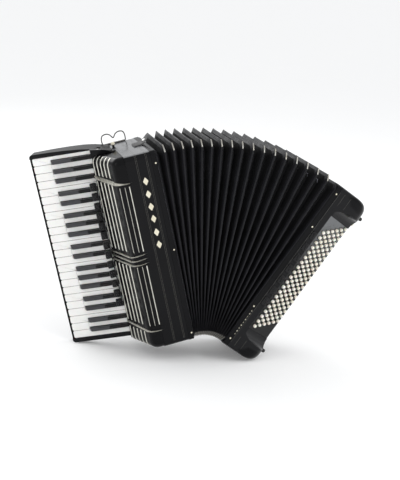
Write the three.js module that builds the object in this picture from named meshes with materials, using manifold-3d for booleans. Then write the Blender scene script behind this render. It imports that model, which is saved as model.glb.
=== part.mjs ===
// Piano accordion, 41 treble keys and 120 bass buttons, standing with its bellows fanned open.
// Millimetres, +Z up, +X from the keyboard side to the bass side, -Y is the front of the instrument.
import * as THREE from 'three';
import { mergeVertices } from 'three/addons/utils/BufferGeometryUtils.js';
import Module from 'manifold-3d';

const wasm = await Module();
wasm.setup();

// ---- driving dimensions -------------------------------------------------------------------
const GAP = 0.3; // air left between touching pieces
const CASE_HEIGHT = 498;
const CASE_DEPTH = 204;
const FRAME_THICK = 14; // bellows frames
const FRAME_WALL = 12;
const WALL = 6;

const FAN_ANGLE = 48.9; // degrees between the two casings
const TREBLE_LEAN = -15.91; // degrees from upright, so that both sides meet the floor
const FAN_RADIUS = 89.3; // from the fan's centre to the lower end of each casing
const FOLDS = 18;
const FOLD_DEPTH = 22;
const BELLOWS_SKIN = 3;
const BELLOWS_INSET = 0.5; // of the ridges from the frames' outside
const BELLOWS_LIFT = 2; // how far the middle folds rise above the fan's circle
const BELLOWS_SHIFT = -2.7; // degrees that the middle folds lean towards the keyboard
const FOLD_PROUD = 6; // how far the stretched upper corners stand above the frames
const CORNER_CUT = 14;

const FRONT_WIDTH = 78; // flat front of the treble casing
const COVER_BEAD = 30; // rounded front edge of the treble cover, outwards of the flat front
const SLOPE_START = [FRONT_WIDTH + COVER_BEAD + 4, 22]; // outwards and in depth
const COVER_OUTER = 142; // where the sloped cover meets the keys
const COVER_BACK = 106;
const COVER_EDGE = COVER_BACK + 2;
const END_ROUND = 13;

const WHITE_COUNT = 24;
const WHITE_PITCH = 20.33;
const KEYS_TOP = 511; // upper edge of the highest white key
const KEY_END = 290.8; // free ends of the keys, from the bellows frame
const KEY_LEVEL = 119; // depth of the white keys' tops where they meet the cover
const KEY_THICK = 14;
const BLACK_END = 243; // free ends of the black keys
const BLACK_WIDTH = 11;
const BLACK_RISE = 11;
const KEY_SLIT = 0.5; // between neighbouring keys
// A black key follows each of these white keys, counted from the lowest note.
const BLACK_GROUPS = [[1, 2, 3], [5, 6], [8, 9, 10], [12, 13], [15, 16, 17], [19, 20], [22, 23]];
const KEY_INNER = 118;
const CHEEK = 10.5; // height of the cheek beyond the keys at each end
const KEY_TILT = 22.8; // degrees that the keys lean back towards their free ends
const BLACK_SHIFT = { 2: 2.6, 3: 4.5 }; // how far a group's outer keys stand apart from its middle
const BED_FRONT = KEY_LEVEL + 20.5; // the bed's floor under the keys
const BED_BACK = 168; // depth of the bed's back beside the casing
const RIM = { start: 0.8, end: 5.5, level: 2 }; // strip beyond the keys' free ends
const HEAD_INNER = 86; // how far in the bed's upper end reaches over the casing
const HEAD_FRONT = 101;
const TONGUE_BACK = 147;
const BACK_START = 151; // depth of the casing's side wall behind the keys
const ARM_PASS = 99; // no end wall further out, where the highest levers pass
const BRACKET_DEPTH = 187;
const AXLE_RADIUS = 1.5;
const AXLE_OUT = 127; // key axle, outwards of the bellows frame
const AXLE_DEPTH = 128;

const PALLET_FACE = 64.4; // where the pallets rest on the soundboard
const ARM = { outer: 119.8, front: 112, back: 117 };
const PALLET = { thick: 4, width: 8.6, front: 58, back: 112 };
const SOUNDBOARD = 64; // outer face of the treble soundboard, from the bellows frame
const BASS_SOUNDBOARD = 34;
const BOARD_INSET = 12; // between a soundboard's edge and the outside of its casing
const BOARD_FULL = 5.7;
const LEDGE_INSET = 20; // opening of the ledge that a soundboard rests on
const GRILLE_SLOTS = { spans: [[60, 175], [190, 305], [320, 430]], rows: 6, width: 4 };
const COVER_WALL = 3;

const SWITCH_COUNT = 13;
const SWITCH_FIRST = 112;
const SWITCH_PITCH = 25.8;

const BASS_WIDTH = 116;
const BASS_ROUND = 26; // outer corners seen from the front
const BOARD_START = 32; // inner edge of the button board, from the bellows frame
const BOARD_SUNK = 2;
const BOARD_TILT = 30; // degrees
const BOARD_WIDTH = 93;
const BOARD_THICK = 3;
const RECESS = [69, 423];
const SCOOP = 28;
const BUTTON = { radius: 4.4, rise: 7, rows: 6, columns: 20, pitch: 15.5, shift: 8.3, low: 82 };
const ROW_START = 16;
const ROW_PITCH = 13.8;
const BAR_DEPTH = 8; // the bars that carry the buttons lie this far under the board
const BAR_THICK = 4;
const SWITCH_BAR = [9, 12]; // depth of the bar behind the bass switches
const BASS_SWITCHES = { count: 7, first: 150, pitch: 34.2, inner: 18.5, outer: 29.5, length: 22 };

// On the end of the bass casing; depth from the front, height from the casing's lower end.
const AIR_BUTTON = { depth: 60, height: 440, radius: 6, inside: 16, outside: 8 };
const STRAP_WHEEL = { depth: 112, height: 458, radius: 10, stem: 3 };
const FOOT = { depths: [46, 168], heights: [38, 461], radius: 5, length: 13 };
const HAND_STRAP = { front: 124, back: 188, low: 60, high: 440, bow: 29, thick: 4 };

const radians = THREE.MathUtils.degToRad;

// ---- solids -------------------------------------------------------------------------------
function solid(geometry) {
  const bare = geometry.clone();
  for (const name of ['normal', 'uv']) bare.deleteAttribute(name);
  const merged = mergeVertices(bare, 1e-4);
  return new wasm.Manifold(new wasm.Mesh({
    numProp: 3,
    vertProperties: new Float32Array(merged.attributes.position.array),
    triVerts: new Uint32Array(merged.index.array),
  }));
}

function toGeometry(manifold) {
  const mesh = manifold.getMesh();
  const geometry = new THREE.BufferGeometry();
  geometry.setAttribute('position', new THREE.BufferAttribute(mesh.vertProperties, 3));
  geometry.setIndex(new THREE.BufferAttribute(mesh.triVerts, 1));
  geometry.computeVertexNormals();
  return geometry;
}

const join = (...geometries) => geometries.map(solid).reduce((all, next) => all.add(next));

function carve(base, ...cuts) {
  const start = base instanceof THREE.BufferGeometry ? solid(base) : base;
  return cuts.map(solid).reduce((left, cut) => left.subtract(cut), start);
}

function box(x, y, z) {
  const geometry = new THREE.BoxGeometry(x[1] - x[0], y[1] - y[0], z[1] - z[0]);
  return geometry.translate((x[0] + x[1]) / 2, (y[0] + y[1]) / 2, (z[0] + z[1]) / 2);
}

const outline = (points) => new THREE.Shape(points.map(([a, b]) => new THREE.Vector2(a, b)));

// A section in X and Y, drawn out along Z, with its ends rounded where a round is given.
function column(shape, low, high, round = 0, curveSegments = 6) {
  const geometry = new THREE.ExtrudeGeometry(shape, {
    depth: high - low - 2 * round,
    bevelEnabled: round > 0,
    bevelSize: round,
    bevelThickness: round,
    bevelOffset: -round,
    bevelSegments: 3,
    curveSegments,
  });
  return geometry.translate(0, 0, low + round);
}

// An outline in X and Z, drawn out along Y.
function plate(shape, front, back, curveSegments = 6) {
  const geometry = new THREE.ExtrudeGeometry(shape, {
    depth: back - front, bevelEnabled: false, curveSegments,
  });
  return geometry.rotateX(Math.PI / 2).translate(0, back, 0);
}

// An outline in Y and Z, drawn out along X.
function slab(shape, near, far, curveSegments = 6) {
  const geometry = new THREE.ExtrudeGeometry(shape, {
    depth: far - near, bevelEnabled: false, curveSegments,
  });
  const turn = new THREE.Matrix4().makeBasis(
    new THREE.Vector3(0, 1, 0), new THREE.Vector3(0, 0, 1), new THREE.Vector3(1, 0, 0));
  return geometry.applyMatrix4(turn).translate(near, 0, 0);
}

function roundedOutline(left, right, low, high, radius) {
  const shape = new THREE.Shape();
  shape.moveTo(left + radius, low);
  shape.lineTo(right - radius, low);
  shape.absarc(right - radius, low + radius, radius, -Math.PI / 2, 0, false);
  shape.lineTo(right, high - radius);
  shape.absarc(right - radius, high - radius, radius, 0, Math.PI / 2, false);
  shape.lineTo(left + radius, high);
  shape.absarc(left + radius, high - radius, radius, Math.PI / 2, Math.PI, false);
  shape.lineTo(left, low + radius);
  shape.absarc(left + radius, low + radius, radius, Math.PI, 1.5 * Math.PI, false);
  return shape;
}

function cylinder(radius, from, to, sides = 10) {
  const start = new THREE.Vector3(...from);
  const way = new THREE.Vector3(...to).sub(start);
  const geometry = new THREE.CylinderGeometry(radius, radius, way.length(), sides);
  const turn = new THREE.Quaternion().setFromUnitVectors(
    new THREE.Vector3(0, 1, 0), way.clone().normalize());
  return geometry.applyQuaternion(turn).translate(...start.addScaledVector(way, 0.5));
}

// ---- finishes -----------------------------------------------------------------------------
const finish = (color, roughness, metalness = 0) => (
  () => new THREE.MeshStandardMaterial({ color, roughness, metalness }));
const lacquer = finish(0x0c0c10, 0.15);
const ivory = finish(0xf2ead8, 0.25);
const ebony = finish(0x101014, 0.2);
const timber = finish(0xb98a56, 0.7);
const steel = finish(0xb8babd, 0.3, 1);
const darkSteel = finish(0x4a4846, 0.35, 1);
const clothTape = finish(0x1a1c20, 0.6);
const leather = finish(0x1b1a1a, 0.65);
const rubber = finish(0x0f0f0f, 0.8);

function part(name, shape, material, parent) {
  const geometry = shape instanceof THREE.BufferGeometry ? shape : toGeometry(shape);
  const mesh = new THREE.Mesh(geometry, material());
  mesh.name = name;
  parent.add(mesh);
  return mesh;
}

// ---- the two sides of the fan -------------------------------------------------------------
// Each side has its own frame: X away from or towards the bellows, Y the depth from the front,
// Z up along the casing from its lower end. Treble pieces lie at negative X.
function leaningSide(lean) {
  const side = new THREE.Group();
  side.rotation.y = radians(lean);
  side.position.set(FAN_RADIUS * Math.sin(radians(lean)), 0, FAN_RADIUS * Math.cos(radians(lean)));
  return side;
}

const accordion = new THREE.Group();
const treble = leaningSide(TREBLE_LEAN);
const bass = leaningSide(TREBLE_LEAN + FAN_ANGLE);
accordion.add(treble, bass);

// A stretch given outwards from the bellows frame, as a span of X on each side.
const trebleSpan = (near, far) => [-far, -near];
const bassSpan = (near, far) => [near, far];

function bellowsFrame() {
  const ring = roundedOutline(0, CASE_DEPTH, 0, CASE_HEIGHT, 6);
  ring.holes.push(roundedOutline(
    FRAME_WALL, CASE_DEPTH - FRAME_WALL, FRAME_WALL, CASE_HEIGHT - FRAME_WALL, 4));
  return slab(ring, 0, FRAME_THICK, 3);
}

// ---- treble casing, cover and soundboard ----------------------------------------------------
// Section of the treble side: flat front, rounded front edge, slope down to the keys, square back.
function trebleSection(inset) {
  const shape = new THREE.Shape();
  shape.moveTo(40, inset);
  shape.lineTo(-FRONT_WIDTH, inset);
  shape.quadraticCurveTo(
    -(FRONT_WIDTH + COVER_BEAD) + inset, inset, -SLOPE_START[0] + inset, SLOPE_START[1]);
  shape.lineTo(-COVER_OUTER + inset, COVER_BACK);
  shape.lineTo(-COVER_OUTER + inset, CASE_DEPTH - inset);
  shape.lineTo(40, CASE_DEPTH - inset);
  return shape;
}

const trebleHull = () => solid(column(trebleSection(0), 0, CASE_HEIGHT, END_ROUND, 5));
const trebleHollow = (wall) => solid(
  column(trebleSection(wall), wall, CASE_HEIGHT - wall, END_ROUND - wall / 2, 5));

// A ledge around the inside of a casing, which its soundboard rests on.
function soundboardLedge(hull, span, face) {
  const inside = face - BOARD_FULL - GAP;
  const ring = box(span(inside - 6, inside), [0, CASE_DEPTH], [0, CASE_HEIGHT]);
  const opening = box(span(0, face), [LEDGE_INSET, CASE_DEPTH - LEDGE_INSET],
    [LEDGE_INSET, CASE_HEIGHT - LEDGE_INSET]);
  return hull.intersect(solid(ring)).subtract(solid(opening));
}

function trebleCasing() {
  const body = box(trebleSpan(FRAME_THICK + GAP, FRONT_WIDTH), [0, CASE_DEPTH], [0, CASE_HEIGHT]);
  const back = box(trebleSpan(FRONT_WIDTH - 1, COVER_OUTER), [BACK_START, CASE_DEPTH],
    [0, CASE_HEIGHT]);
  const ends = join(
    box(trebleSpan(FRONT_WIDTH - 1, ARM_PASS), [COVER_EDGE + GAP, BACK_START + 1],
      [CASE_HEIGHT - WALL - 2, CASE_HEIGHT]),
    box(trebleSpan(FRONT_WIDTH - 1, COVER_OUTER), [COVER_EDGE + GAP, BACK_START + 1],
      [0, WALL + 2]));
  const shell = trebleHull().intersect(join(body, back).add(ends)).subtract(trebleHollow(WALL));
  return shell.add(soundboardLedge(trebleHull(), trebleSpan, SOUNDBOARD));
}

// The cover has rows of long sound slots on its slope.
function trebleCover() {
  const region = box(trebleSpan(FRONT_WIDTH + GAP, COVER_OUTER + 1), [-1, COVER_EDGE],
    [-1, CASE_HEIGHT + 1]);
  const shell = trebleHull().intersect(solid(region)).subtract(trebleHollow(COVER_WALL));
  const [slopeWidth, slopeDepth] = [COVER_OUTER - SLOPE_START[0], COVER_BACK - SLOPE_START[1]];
  const slope = Math.atan2(slopeWidth, slopeDepth);
  const half = GRILLE_SLOTS.width / 2;
  const slots = [];
  for (const span of GRILLE_SLOTS.spans) {
    for (let k = 0; k < GRILLE_SLOTS.rows; k += 1) {
      const along = 0.17 + 0.13 * k;
      const slot = box([-2 * COVER_WALL, 2 * COVER_WALL], [-half, half], span).rotateZ(-slope);
      slots.push(slot.translate(-(SLOPE_START[0] + slopeWidth * along),
        SLOPE_START[1] + slopeDepth * along, 0));
    }
  }
  return carve(shell, ...slots);
}

const whiteLow = (k) => KEYS_TOP - WHITE_PITCH * k; // lower edge of the white key numbered k
const noteHeights = [];
for (let k = 1; k <= WHITE_COUNT; k += 1) noteHeights.push(whiteLow(k) + WHITE_PITCH / 2);
for (const group of BLACK_GROUPS) for (const k of group) noteHeights.push(whiteLow(k));

// The outer black keys of a group stand a little apart from its middle.
const blackHeights = {};
for (const group of BLACK_GROUPS) {
  const shift = group[0] === 22 ? [BLACK_SHIFT[3], 0]
    : { 2: [BLACK_SHIFT[2], -BLACK_SHIFT[2]], 3: [BLACK_SHIFT[3], 0, -BLACK_SHIFT[3]] }[group.length];
  group.forEach((k, i) => { blackHeights[k] = whiteLow(k) + shift[i]; });
}

// The keyboard rises past the casing, so the pallets are spread over the soundboard's own height.
const SOUND_LOW = 24;
const SOUND_HIGH = CASE_HEIGHT - 24;
const palletHeight = (z) => SOUND_LOW + (z - (KEYS_TOP - WHITE_PITCH * WHITE_COUNT))
  * (SOUND_HIGH - SOUND_LOW) / (WHITE_PITCH * WHITE_COUNT);

// A soundboard with a slot for each pallet, and reed blocks standing on its bellows side. The
// span function turns a stretch outwards from the bellows frame into X on that side.
function reedBoard(span, face, slots, blockDepths) {
  const board = box(span(face - BOARD_FULL, face), [BOARD_INSET, CASE_DEPTH - BOARD_INSET],
    [BOARD_INSET, CASE_HEIGHT - BOARD_INSET]);
  const holes = slots.heights.map((z) => box(span(face - 8, face + 2), slots.depth,
    [z - slots.width / 2, z + slots.width / 2]));
  const blocks = blockDepths.map((y) => box(span(4, face - BOARD_FULL + 0.5), [y, y + 16],
    [34, CASE_HEIGHT - 34]));
  return blocks.map(solid).reduce((all, next) => all.add(next), carve(board, ...holes));
}

function trebleSide() {
  part('treble_bellows_frame', bellowsFrame().translate(-FRAME_THICK, 0, 0), lacquer, treble);
  part('treble_casing', trebleCasing(), lacquer, treble);
  part('treble_grille', trebleCover(), lacquer, treble);
  const slots = {
    heights: noteHeights.map(palletHeight), width: 6, depth: [PALLET.front + 5, PALLET.back - 5],
  };
  part('treble_reed_board', reedBoard(trebleSpan, SOUNDBOARD, slots, [36, 118, 150]), timber, treble);
}

// ---- keyboard -----------------------------------------------------------------------------
// The keyboard is laid out level, and then leans back about the line where it meets the cover.
function leaning(shape) {
  const level = shape instanceof THREE.BufferGeometry ? solid(shape) : shape;
  return level.translate(COVER_OUTER, -KEY_LEVEL, 0).rotate(0, 0, -KEY_TILT)
    .translate(-COVER_OUTER, KEY_LEVEL, 0);
}

// The bed carries the keys between two cheeks. Its upper end is a hollow head that curves down
// to the casing, and a tongue under the keys' inner ends carries the axle.
function keyboardBed() {
  const low = whiteLow(WHITE_COUNT) - GAP;
  const high = KEYS_TOP + GAP;
  const roof = CASE_HEIGHT + GAP;
  const far = KEY_END + RIM.end;
  const whole = new THREE.Shape();
  whole.moveTo(-60, low - CHEEK);
  whole.lineTo(-far + 10, low - CHEEK);
  whole.quadraticCurveTo(-far, low - CHEEK, -far, low - CHEEK + 10);
  whole.lineTo(-far, high + CHEEK - 10);
  whole.quadraticCurveTo(-far, high + CHEEK, -far + 10, high + CHEEK);
  whole.bezierCurveTo(-190, high + CHEEK, -130, high + CHEEK - 4, -HEAD_INNER, roof + 2);
  whole.lineTo(-60, roof + 2);
  const section = outline([[-60, KEY_LEVEL - 2], [-far, KEY_LEVEL - 2], [-far, BED_FRONT + 3.5],
    [-COVER_OUTER - 10, BED_BACK], [-60, BED_BACK]]);
  const bed = leaning(solid(plate(whole, KEY_LEVEL - 2, BED_BACK, 6))
    .intersect(solid(column(section, 0, CASE_HEIGHT + 100))));
  const head = solid(plate(whole, HEAD_FRONT, KEY_LEVEL + 6, 6)).intersect(solid(
    box(trebleSpan(0, COVER_OUTER - GAP), [0, CASE_DEPTH], [roof, CASE_HEIGHT + 100])));
  const keyRoom = leaning(plate(outline([[-KEY_END - RIM.start, low], [-84, low],
    [-84, roof], [-KEY_INNER + 4, high - 4], [-KEY_INNER, high], [-KEY_END - RIM.start, high]]),
  KEY_LEVEL - 14, BED_FRONT)).subtract(solid(
    box(trebleSpan(0, COVER_OUTER - GAP), [0, COVER_EDGE + GAP], [0, CASE_HEIGHT + 100])));
  const rimTop = leaning(box([-far - 1, -KEY_END + 5], [KEY_LEVEL - 14, KEY_LEVEL + RIM.level],
    [low, high]));
  const underside = leaning(box([-KEY_END + 32, -COVER_OUTER - 28],
    [BED_FRONT + 8, BED_BACK + 10], [low + 8, high - 8]));
  const headEnd = solid(box(trebleSpan(0, HEAD_INNER), [0, CASE_DEPTH],
    [roof - 1, CASE_HEIGHT + 100]));
  const trebleRoom = solid(box(trebleSpan(0, COVER_OUTER + GAP), [0, CASE_DEPTH + 1],
    [-1 - CHEEK, roof]));
  const tongue = box(trebleSpan(KEY_INNER - 10, COVER_OUTER + 18), [BED_FRONT, TONGUE_BACK],
    [low - 10, roof + 1]);
  const post = box(trebleSpan(AXLE_OUT - 6, AXLE_OUT + 6), [AXLE_DEPTH - 5, TONGUE_BACK],
    [low - 10, low - GAP]);
  const axleHole = cylinder(AXLE_RADIUS + GAP, [-AXLE_OUT, AXLE_DEPTH, low - 12],
    [-AXLE_OUT, AXLE_DEPTH, high + 5], 8);
  const shell = [keyRoom, rimTop, underside, headEnd, trebleRoom]
    .reduce((left, cut) => left.subtract(cut), bed.add(head));
  return shell.add(leaning(join(tongue, post))).subtract(leaning(axleHole));
}

const axleNotch = (low, high) => box(
  trebleSpan(AXLE_OUT - AXLE_RADIUS - GAP, AXLE_OUT + AXLE_RADIUS + GAP),
  [AXLE_DEPTH - AXLE_RADIUS - GAP, KEY_LEVEL + KEY_THICK + 1], [low, high]);

// From the key's inner end a thin arm reaches forward to the pallet over its soundboard slot.
// The arm slants along the casing, because the keyboard is longer than the soundboard.
function keyArm(start, note) {
  const z = palletHeight(note);
  const tip = PALLET_FACE + 2;
  const arm = column(outline([[-ARM.outer, ARM.back], [-ARM.outer, ARM.front],
    [-88, ARM.front], [-tip, 96], [-tip, 102], [-85, ARM.back]]), -1.4, 1.4);
  const slant = (start - z) / (KEY_INNER - tip);
  arm.applyMatrix4(new THREE.Matrix4().set(
    1, 0, 0, 0, 0, 1, 0, 0, -slant, 0, 1, start - slant * KEY_INNER, 0, 0, 0, 1));
  const pallet = box(trebleSpan(PALLET_FACE, PALLET_FACE + PALLET.thick),
    [PALLET.front, PALLET.back], [z - PALLET.width / 2, z + PALLET.width / 2]);
  return join(arm, pallet);
}

function whiteKey(k) {
  const low = whiteLow(k) + KEY_SLIT / 2;
  const high = whiteLow(k - 1) - KEY_SLIT / 2;
  const room = BLACK_WIDTH / 2 + KEY_SLIT;
  const stemLow = k in blackHeights ? Math.max(low, blackHeights[k] + room) : low;
  const stemHigh = (k - 1) in blackHeights ? Math.min(high, blackHeights[k - 1] - room) : high;
  const head = BLACK_END + KEY_SLIT + 0.5;
  const top = outline([[-KEY_END, low], [-head, low], [-head, stemLow], [-KEY_INNER, stemLow],
    [-KEY_INNER, stemHigh], [-head, stemHigh], [-head, high], [-KEY_END, high]]);
  const body = plate(top, KEY_LEVEL, KEY_LEVEL + KEY_THICK);
  const key = leaning(carve(body, axleNotch(low - 1, high + 1)));
  const note = whiteLow(k) + WHITE_PITCH / 2;
  const start = THREE.MathUtils.clamp(note, stemLow + 2.6, stemHigh - 2.6);
  return key.add(keyArm(start, note));
}

// Neighbouring black keys share one lever bar behind the cover.
function blackKeys(group) {
  const pieces = group.map((k) => {
    const z = blackHeights[k];
    const half = BLACK_WIDTH / 2;
    const side = outline([[-BLACK_END, KEY_LEVEL], [-BLACK_END + 7, KEY_LEVEL - BLACK_RISE],
      [-COVER_OUTER + 2, KEY_LEVEL - BLACK_RISE + 3.5], [-KEY_INNER, KEY_LEVEL + 0.5],
      [-KEY_INNER, KEY_LEVEL + KEY_THICK], [-BLACK_END, KEY_LEVEL + KEY_THICK]]);
    return column(side, z - half, z + half);
  });
  const low = blackHeights[group[group.length - 1]];
  const high = blackHeights[group[0]];
  const barDepth = [KEY_LEVEL + 12, KEY_LEVEL + 16];
  const bar = box(trebleSpan(KEY_INNER - 6, KEY_INNER - 2), barDepth, [low - 3, high + 3]);
  const links = group.map((k) => box(trebleSpan(KEY_INNER - 3, KEY_INNER + 3),
    [barDepth[0] - 4, barDepth[1]], [blackHeights[k] - 3, blackHeights[k] + 3]));
  const keys = carve(join(...pieces), axleNotch(low - 10, high + 10)).add(join(bar, ...links));
  return group.reduce((all, k) => all.add(keyArm(blackHeights[k], whiteLow(k))), leaning(keys));
}

function keyboard() {
  part('keyboard_bed', keyboardBed(), lacquer, treble);
  const axle = cylinder(AXLE_RADIUS, [-AXLE_OUT, AXLE_DEPTH, whiteLow(WHITE_COUNT) - 9],
    [-AXLE_OUT, AXLE_DEPTH, KEYS_TOP], 8);
  part('key_axle', leaning(axle), steel, treble);
  for (let k = 1; k <= WHITE_COUNT; k += 1) {
    part(`white_key_${String(k).padStart(2, '0')}`, whiteKey(k), ivory, treble);
  }
  BLACK_GROUPS.forEach((group, i) => part(`black_keys_${i + 1}`, blackKeys(group), ebony, treble));
}

// ---- treble fittings ------------------------------------------------------------------------
function trebleSwitches() {
  const rail = box(trebleSpan(144, 147), [103, 107], [SWITCH_FIRST - 8,
    SWITCH_FIRST + SWITCH_PITCH * (SWITCH_COUNT - 1) + 8]);
  const paddles = [];
  for (let i = 0; i < SWITCH_COUNT; i += 1) {
    const z = SWITCH_FIRST + SWITCH_PITCH * i;
    paddles.push(box(trebleSpan(146, 161), [101, 109], [z - 10, z + 10]));
  }
  return join(rail, ...paddles);
}

const arcPath = (points) => new THREE.CatmullRomCurve3(points.map((p) => new THREE.Vector3(...p)));

function wire(points, radius, steps) {
  const corners = Array.from({ length: 6 }, (_, i) => [
    radius * Math.cos(i * Math.PI / 3), radius * Math.sin(i * Math.PI / 3)]);
  return new THREE.ExtrudeGeometry(outline(corners), {
    steps, bevelEnabled: false, extrudePath: arcPath(points),
  });
}

// Two wire loops for the shoulder straps, on a plate at the back of the casing's upper end.
function strapBracket() {
  const foot = CASE_HEIGHT + GAP;
  const depth = BRACKET_DEPTH;
  const base = box(trebleSpan(34, 98), [depth - 4, depth + 4], [foot, foot + 3]);
  const loops = [50, 82].map((middle) => {
    const half = [[13, 1], [14, 12], [9, 24], [0, 28]];
    const rise = half.map(([x, z]) => [-middle - x, depth, foot + z]);
    const fall = half.slice(0, 3).reverse().map(([x, z]) => [-middle + x, depth, foot + z]);
    return wire([...rise, ...fall], 1.8, 12);
  });
  return join(base, ...loops);
}

function trebleFittings() {
  part('treble_switches', trebleSwitches(), ebony, treble);
  part('strap_bracket', strapBracket(), darkSteel, treble);
  const foot = CASE_HEIGHT + GAP;
  part('bellows_strap', box(trebleSpan(1, 34), [86, 122], [foot, foot + 4]), leather, treble);
  part('top_stud', cylinder(5, [-78, 132, foot], [-78, 132, foot + 16], 12), ebony, treble);
}

// ---- bellows ------------------------------------------------------------------------------
// One pleated tube. Ring k lies in its own plane through the fan; even rings are ridges.
function foldRing(k, inset) {
  const ridge = k % 2 === 0;
  const away = inset + (ridge ? 0 : FOLD_DEPTH);
  const cut = ridge ? CORNER_CUT : CORNER_CUT / 2;
  const near = away;
  const far = CASE_DEPTH - away;
  const low = away;
  const high = CASE_HEIGHT - away + (k % (2 * FOLDS) === 0 ? 0 : FOLD_PROUD);
  const flat = [[near + cut, low], [far - cut, low], [far, low + cut], [far, high - cut],
    [far - cut, high], [near + cut, high], [near, high - cut], [near, low + cut]];
  const s = k / (2 * FOLDS);
  const bulge = Math.sin(Math.PI * s);
  const end = { 0: GAP, [2 * FOLDS]: -GAP }[k] ?? 0;
  const angle = radians(TREBLE_LEAN + FAN_ANGLE * s + BELLOWS_SHIFT * bulge);
  const radius = FAN_RADIUS + BELLOWS_LIFT * bulge;
  return flat.map(([y, w]) => [
    (radius + w) * Math.sin(angle) + end * Math.cos(angle), y,
    (radius + w) * Math.cos(angle) - end * Math.sin(angle)]);
}

function bellows() {
  const rings = 2 * FOLDS + 1;
  const positions = [];
  for (const inset of [BELLOWS_INSET, BELLOWS_INSET + BELLOWS_SKIN]) {
    for (let k = 0; k < rings; k += 1) for (const p of foldRing(k, inset)) positions.push(...p);
  }
  const sides = 8;
  const at = (skin, k, i) => skin * rings * sides + k * sides + (i % sides);
  const index = [];
  const quad = (a, b, c, d) => index.push(a, b, c, a, c, d);
  for (let i = 0; i < sides; i += 1) {
    for (let k = 0; k < rings - 1; k += 1) {
      quad(at(0, k, i), at(0, k, i + 1), at(0, k + 1, i + 1), at(0, k + 1, i));
      quad(at(1, k, i), at(1, k + 1, i), at(1, k + 1, i + 1), at(1, k, i + 1));
    }
    quad(at(0, 0, i + 1), at(0, 0, i), at(1, 0, i), at(1, 0, i + 1));
    quad(at(0, rings - 1, i), at(0, rings - 1, i + 1), at(1, rings - 1, i + 1), at(1, rings - 1, i));
  }
  const geometry = new THREE.BufferGeometry();
  geometry.setAttribute('position', new THREE.Float32BufferAttribute(positions, 3));
  geometry.setIndex(index);
  geometry.computeVertexNormals();
  return geometry;
}

// ---- bass side ----------------------------------------------------------------------------
const buttonBoard = new THREE.Group();
buttonBoard.position.set(BOARD_START, BOARD_SUNK, 0);
buttonBoard.rotation.z = radians(BOARD_TILT);
bass.add(buttonBoard);

function bassFrontOutline(inset) {
  const far = BASS_WIDTH - inset;
  const low = inset;
  const high = CASE_HEIGHT - inset;
  const round = BASS_ROUND - inset / 2;
  const shape = new THREE.Shape();
  shape.moveTo(-20, low);
  shape.lineTo(far - round, low);
  shape.absarc(far - round, low + round, round, -Math.PI / 2, 0, false);
  shape.lineTo(far, high - round);
  shape.absarc(far - round, high - round, round, 0, Math.PI / 2, false);
  shape.lineTo(-20, high);
  return shape;
}

function bassSection(inset) {
  const far = BASS_WIDTH - inset;
  const shape = new THREE.Shape();
  shape.moveTo(-20, inset);
  shape.lineTo(64, inset);
  shape.quadraticCurveTo(far, inset, far, 46);
  shape.lineTo(far, CASE_DEPTH - 24);
  shape.quadraticCurveTo(far, CASE_DEPTH - inset, far - 20, CASE_DEPTH - inset);
  shape.lineTo(-20, CASE_DEPTH - inset);
  return shape;
}

function bassHull(inset) {
  const front = solid(plate(bassFrontOutline(inset), inset, CASE_DEPTH - inset, 7));
  return front.intersect(solid(column(bassSection(inset), -1, CASE_HEIGHT + 1, 0, 7)));
}

// Everything above the button board's plane is cut away, with a hollow round at each end.
function recessCut() {
  const reach = 70;
  const cut = box([-GAP, 130], [-reach, BOARD_THICK + GAP], RECESS);
  const scoops = RECESS.map((z) => cylinder(SCOOP, [1.5, -SCOOP, z], [130, -SCOOP, z], 24));
  return [cut, ...scoops].map((piece) => piece.rotateZ(radians(BOARD_TILT))
    .translate(BOARD_START, BOARD_SUNK, 0));
}

function bassCasing() {
  const region = box([FRAME_THICK + GAP, BASS_WIDTH + 1], [-1, CASE_DEPTH + 1],
    [-1, CASE_HEIGHT + 1]);
  const { count, first, pitch, inner, outer, length } = BASS_SWITCHES;
  const slots = [];
  for (let i = 0; i < count; i += 1) {
    const z = first + pitch * i;
    slots.push(box([inner - GAP, outer + GAP], [-1, WALL + 2],
      [z - length / 2 - GAP, z + length / 2 + GAP]));
  }
  const endHole = ({ depth, height }, radius) => cylinder(radius + GAP,
    [BASS_WIDTH - 20, depth, height], [BASS_WIDTH + 1, depth, height], 12);
  const hull = bassHull(0).intersect(solid(region)).subtract(bassHull(WALL));
  const ledge = soundboardLedge(bassHull(0), bassSpan, BASS_SOUNDBOARD);
  const barRoom = box([inner + 1, outer], [WALL, SWITCH_BAR[1] + 4],
    [first - length / 2 - 1, first + pitch * (count - 1) + length / 2 + 1]);
  return carve(hull.add(ledge), ...recessCut(), ...slots, barRoom,
    endHole(AIR_BUTTON, AIR_BUTTON.radius), endHole(STRAP_WHEEL, STRAP_WHEEL.stem));
}

const rowLow = (row) => BUTTON.low + BUTTON.shift * row;
const rowHigh = (row) => rowLow(row) + BUTTON.pitch * (BUTTON.columns - 1);

function boardPlate() {
  const slots = [];
  for (let row = 0; row < BUTTON.rows; row += 1) {
    const x = ROW_START + ROW_PITCH * row;
    const half = BUTTON.radius + GAP;
    slots.push(box([x - half, x + half], [-1, BOARD_THICK + 1],
      [rowLow(row) - half, rowHigh(row) + half]));
  }
  return carve(box([0, BOARD_WIDTH], [0, BOARD_THICK], [RECESS[0] + GAP, RECESS[1] - GAP]),
    ...slots);
}

function buttonRow(row) {
  const x = ROW_START + ROW_PITCH * row;
  const bar = box([x - 3.5, x + 3.5], [BAR_DEPTH, BAR_DEPTH + BAR_THICK],
    [rowLow(row) - 4, rowHigh(row) + 4]);
  const buttons = [];
  for (let i = 0; i < BUTTON.columns; i += 1) {
    const z = rowLow(row) + BUTTON.pitch * i;
    buttons.push(cylinder(BUTTON.radius, [x, -BUTTON.rise, z], [x, BAR_DEPTH + 1, z], 6));
  }
  return join(bar, ...buttons);
}

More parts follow.
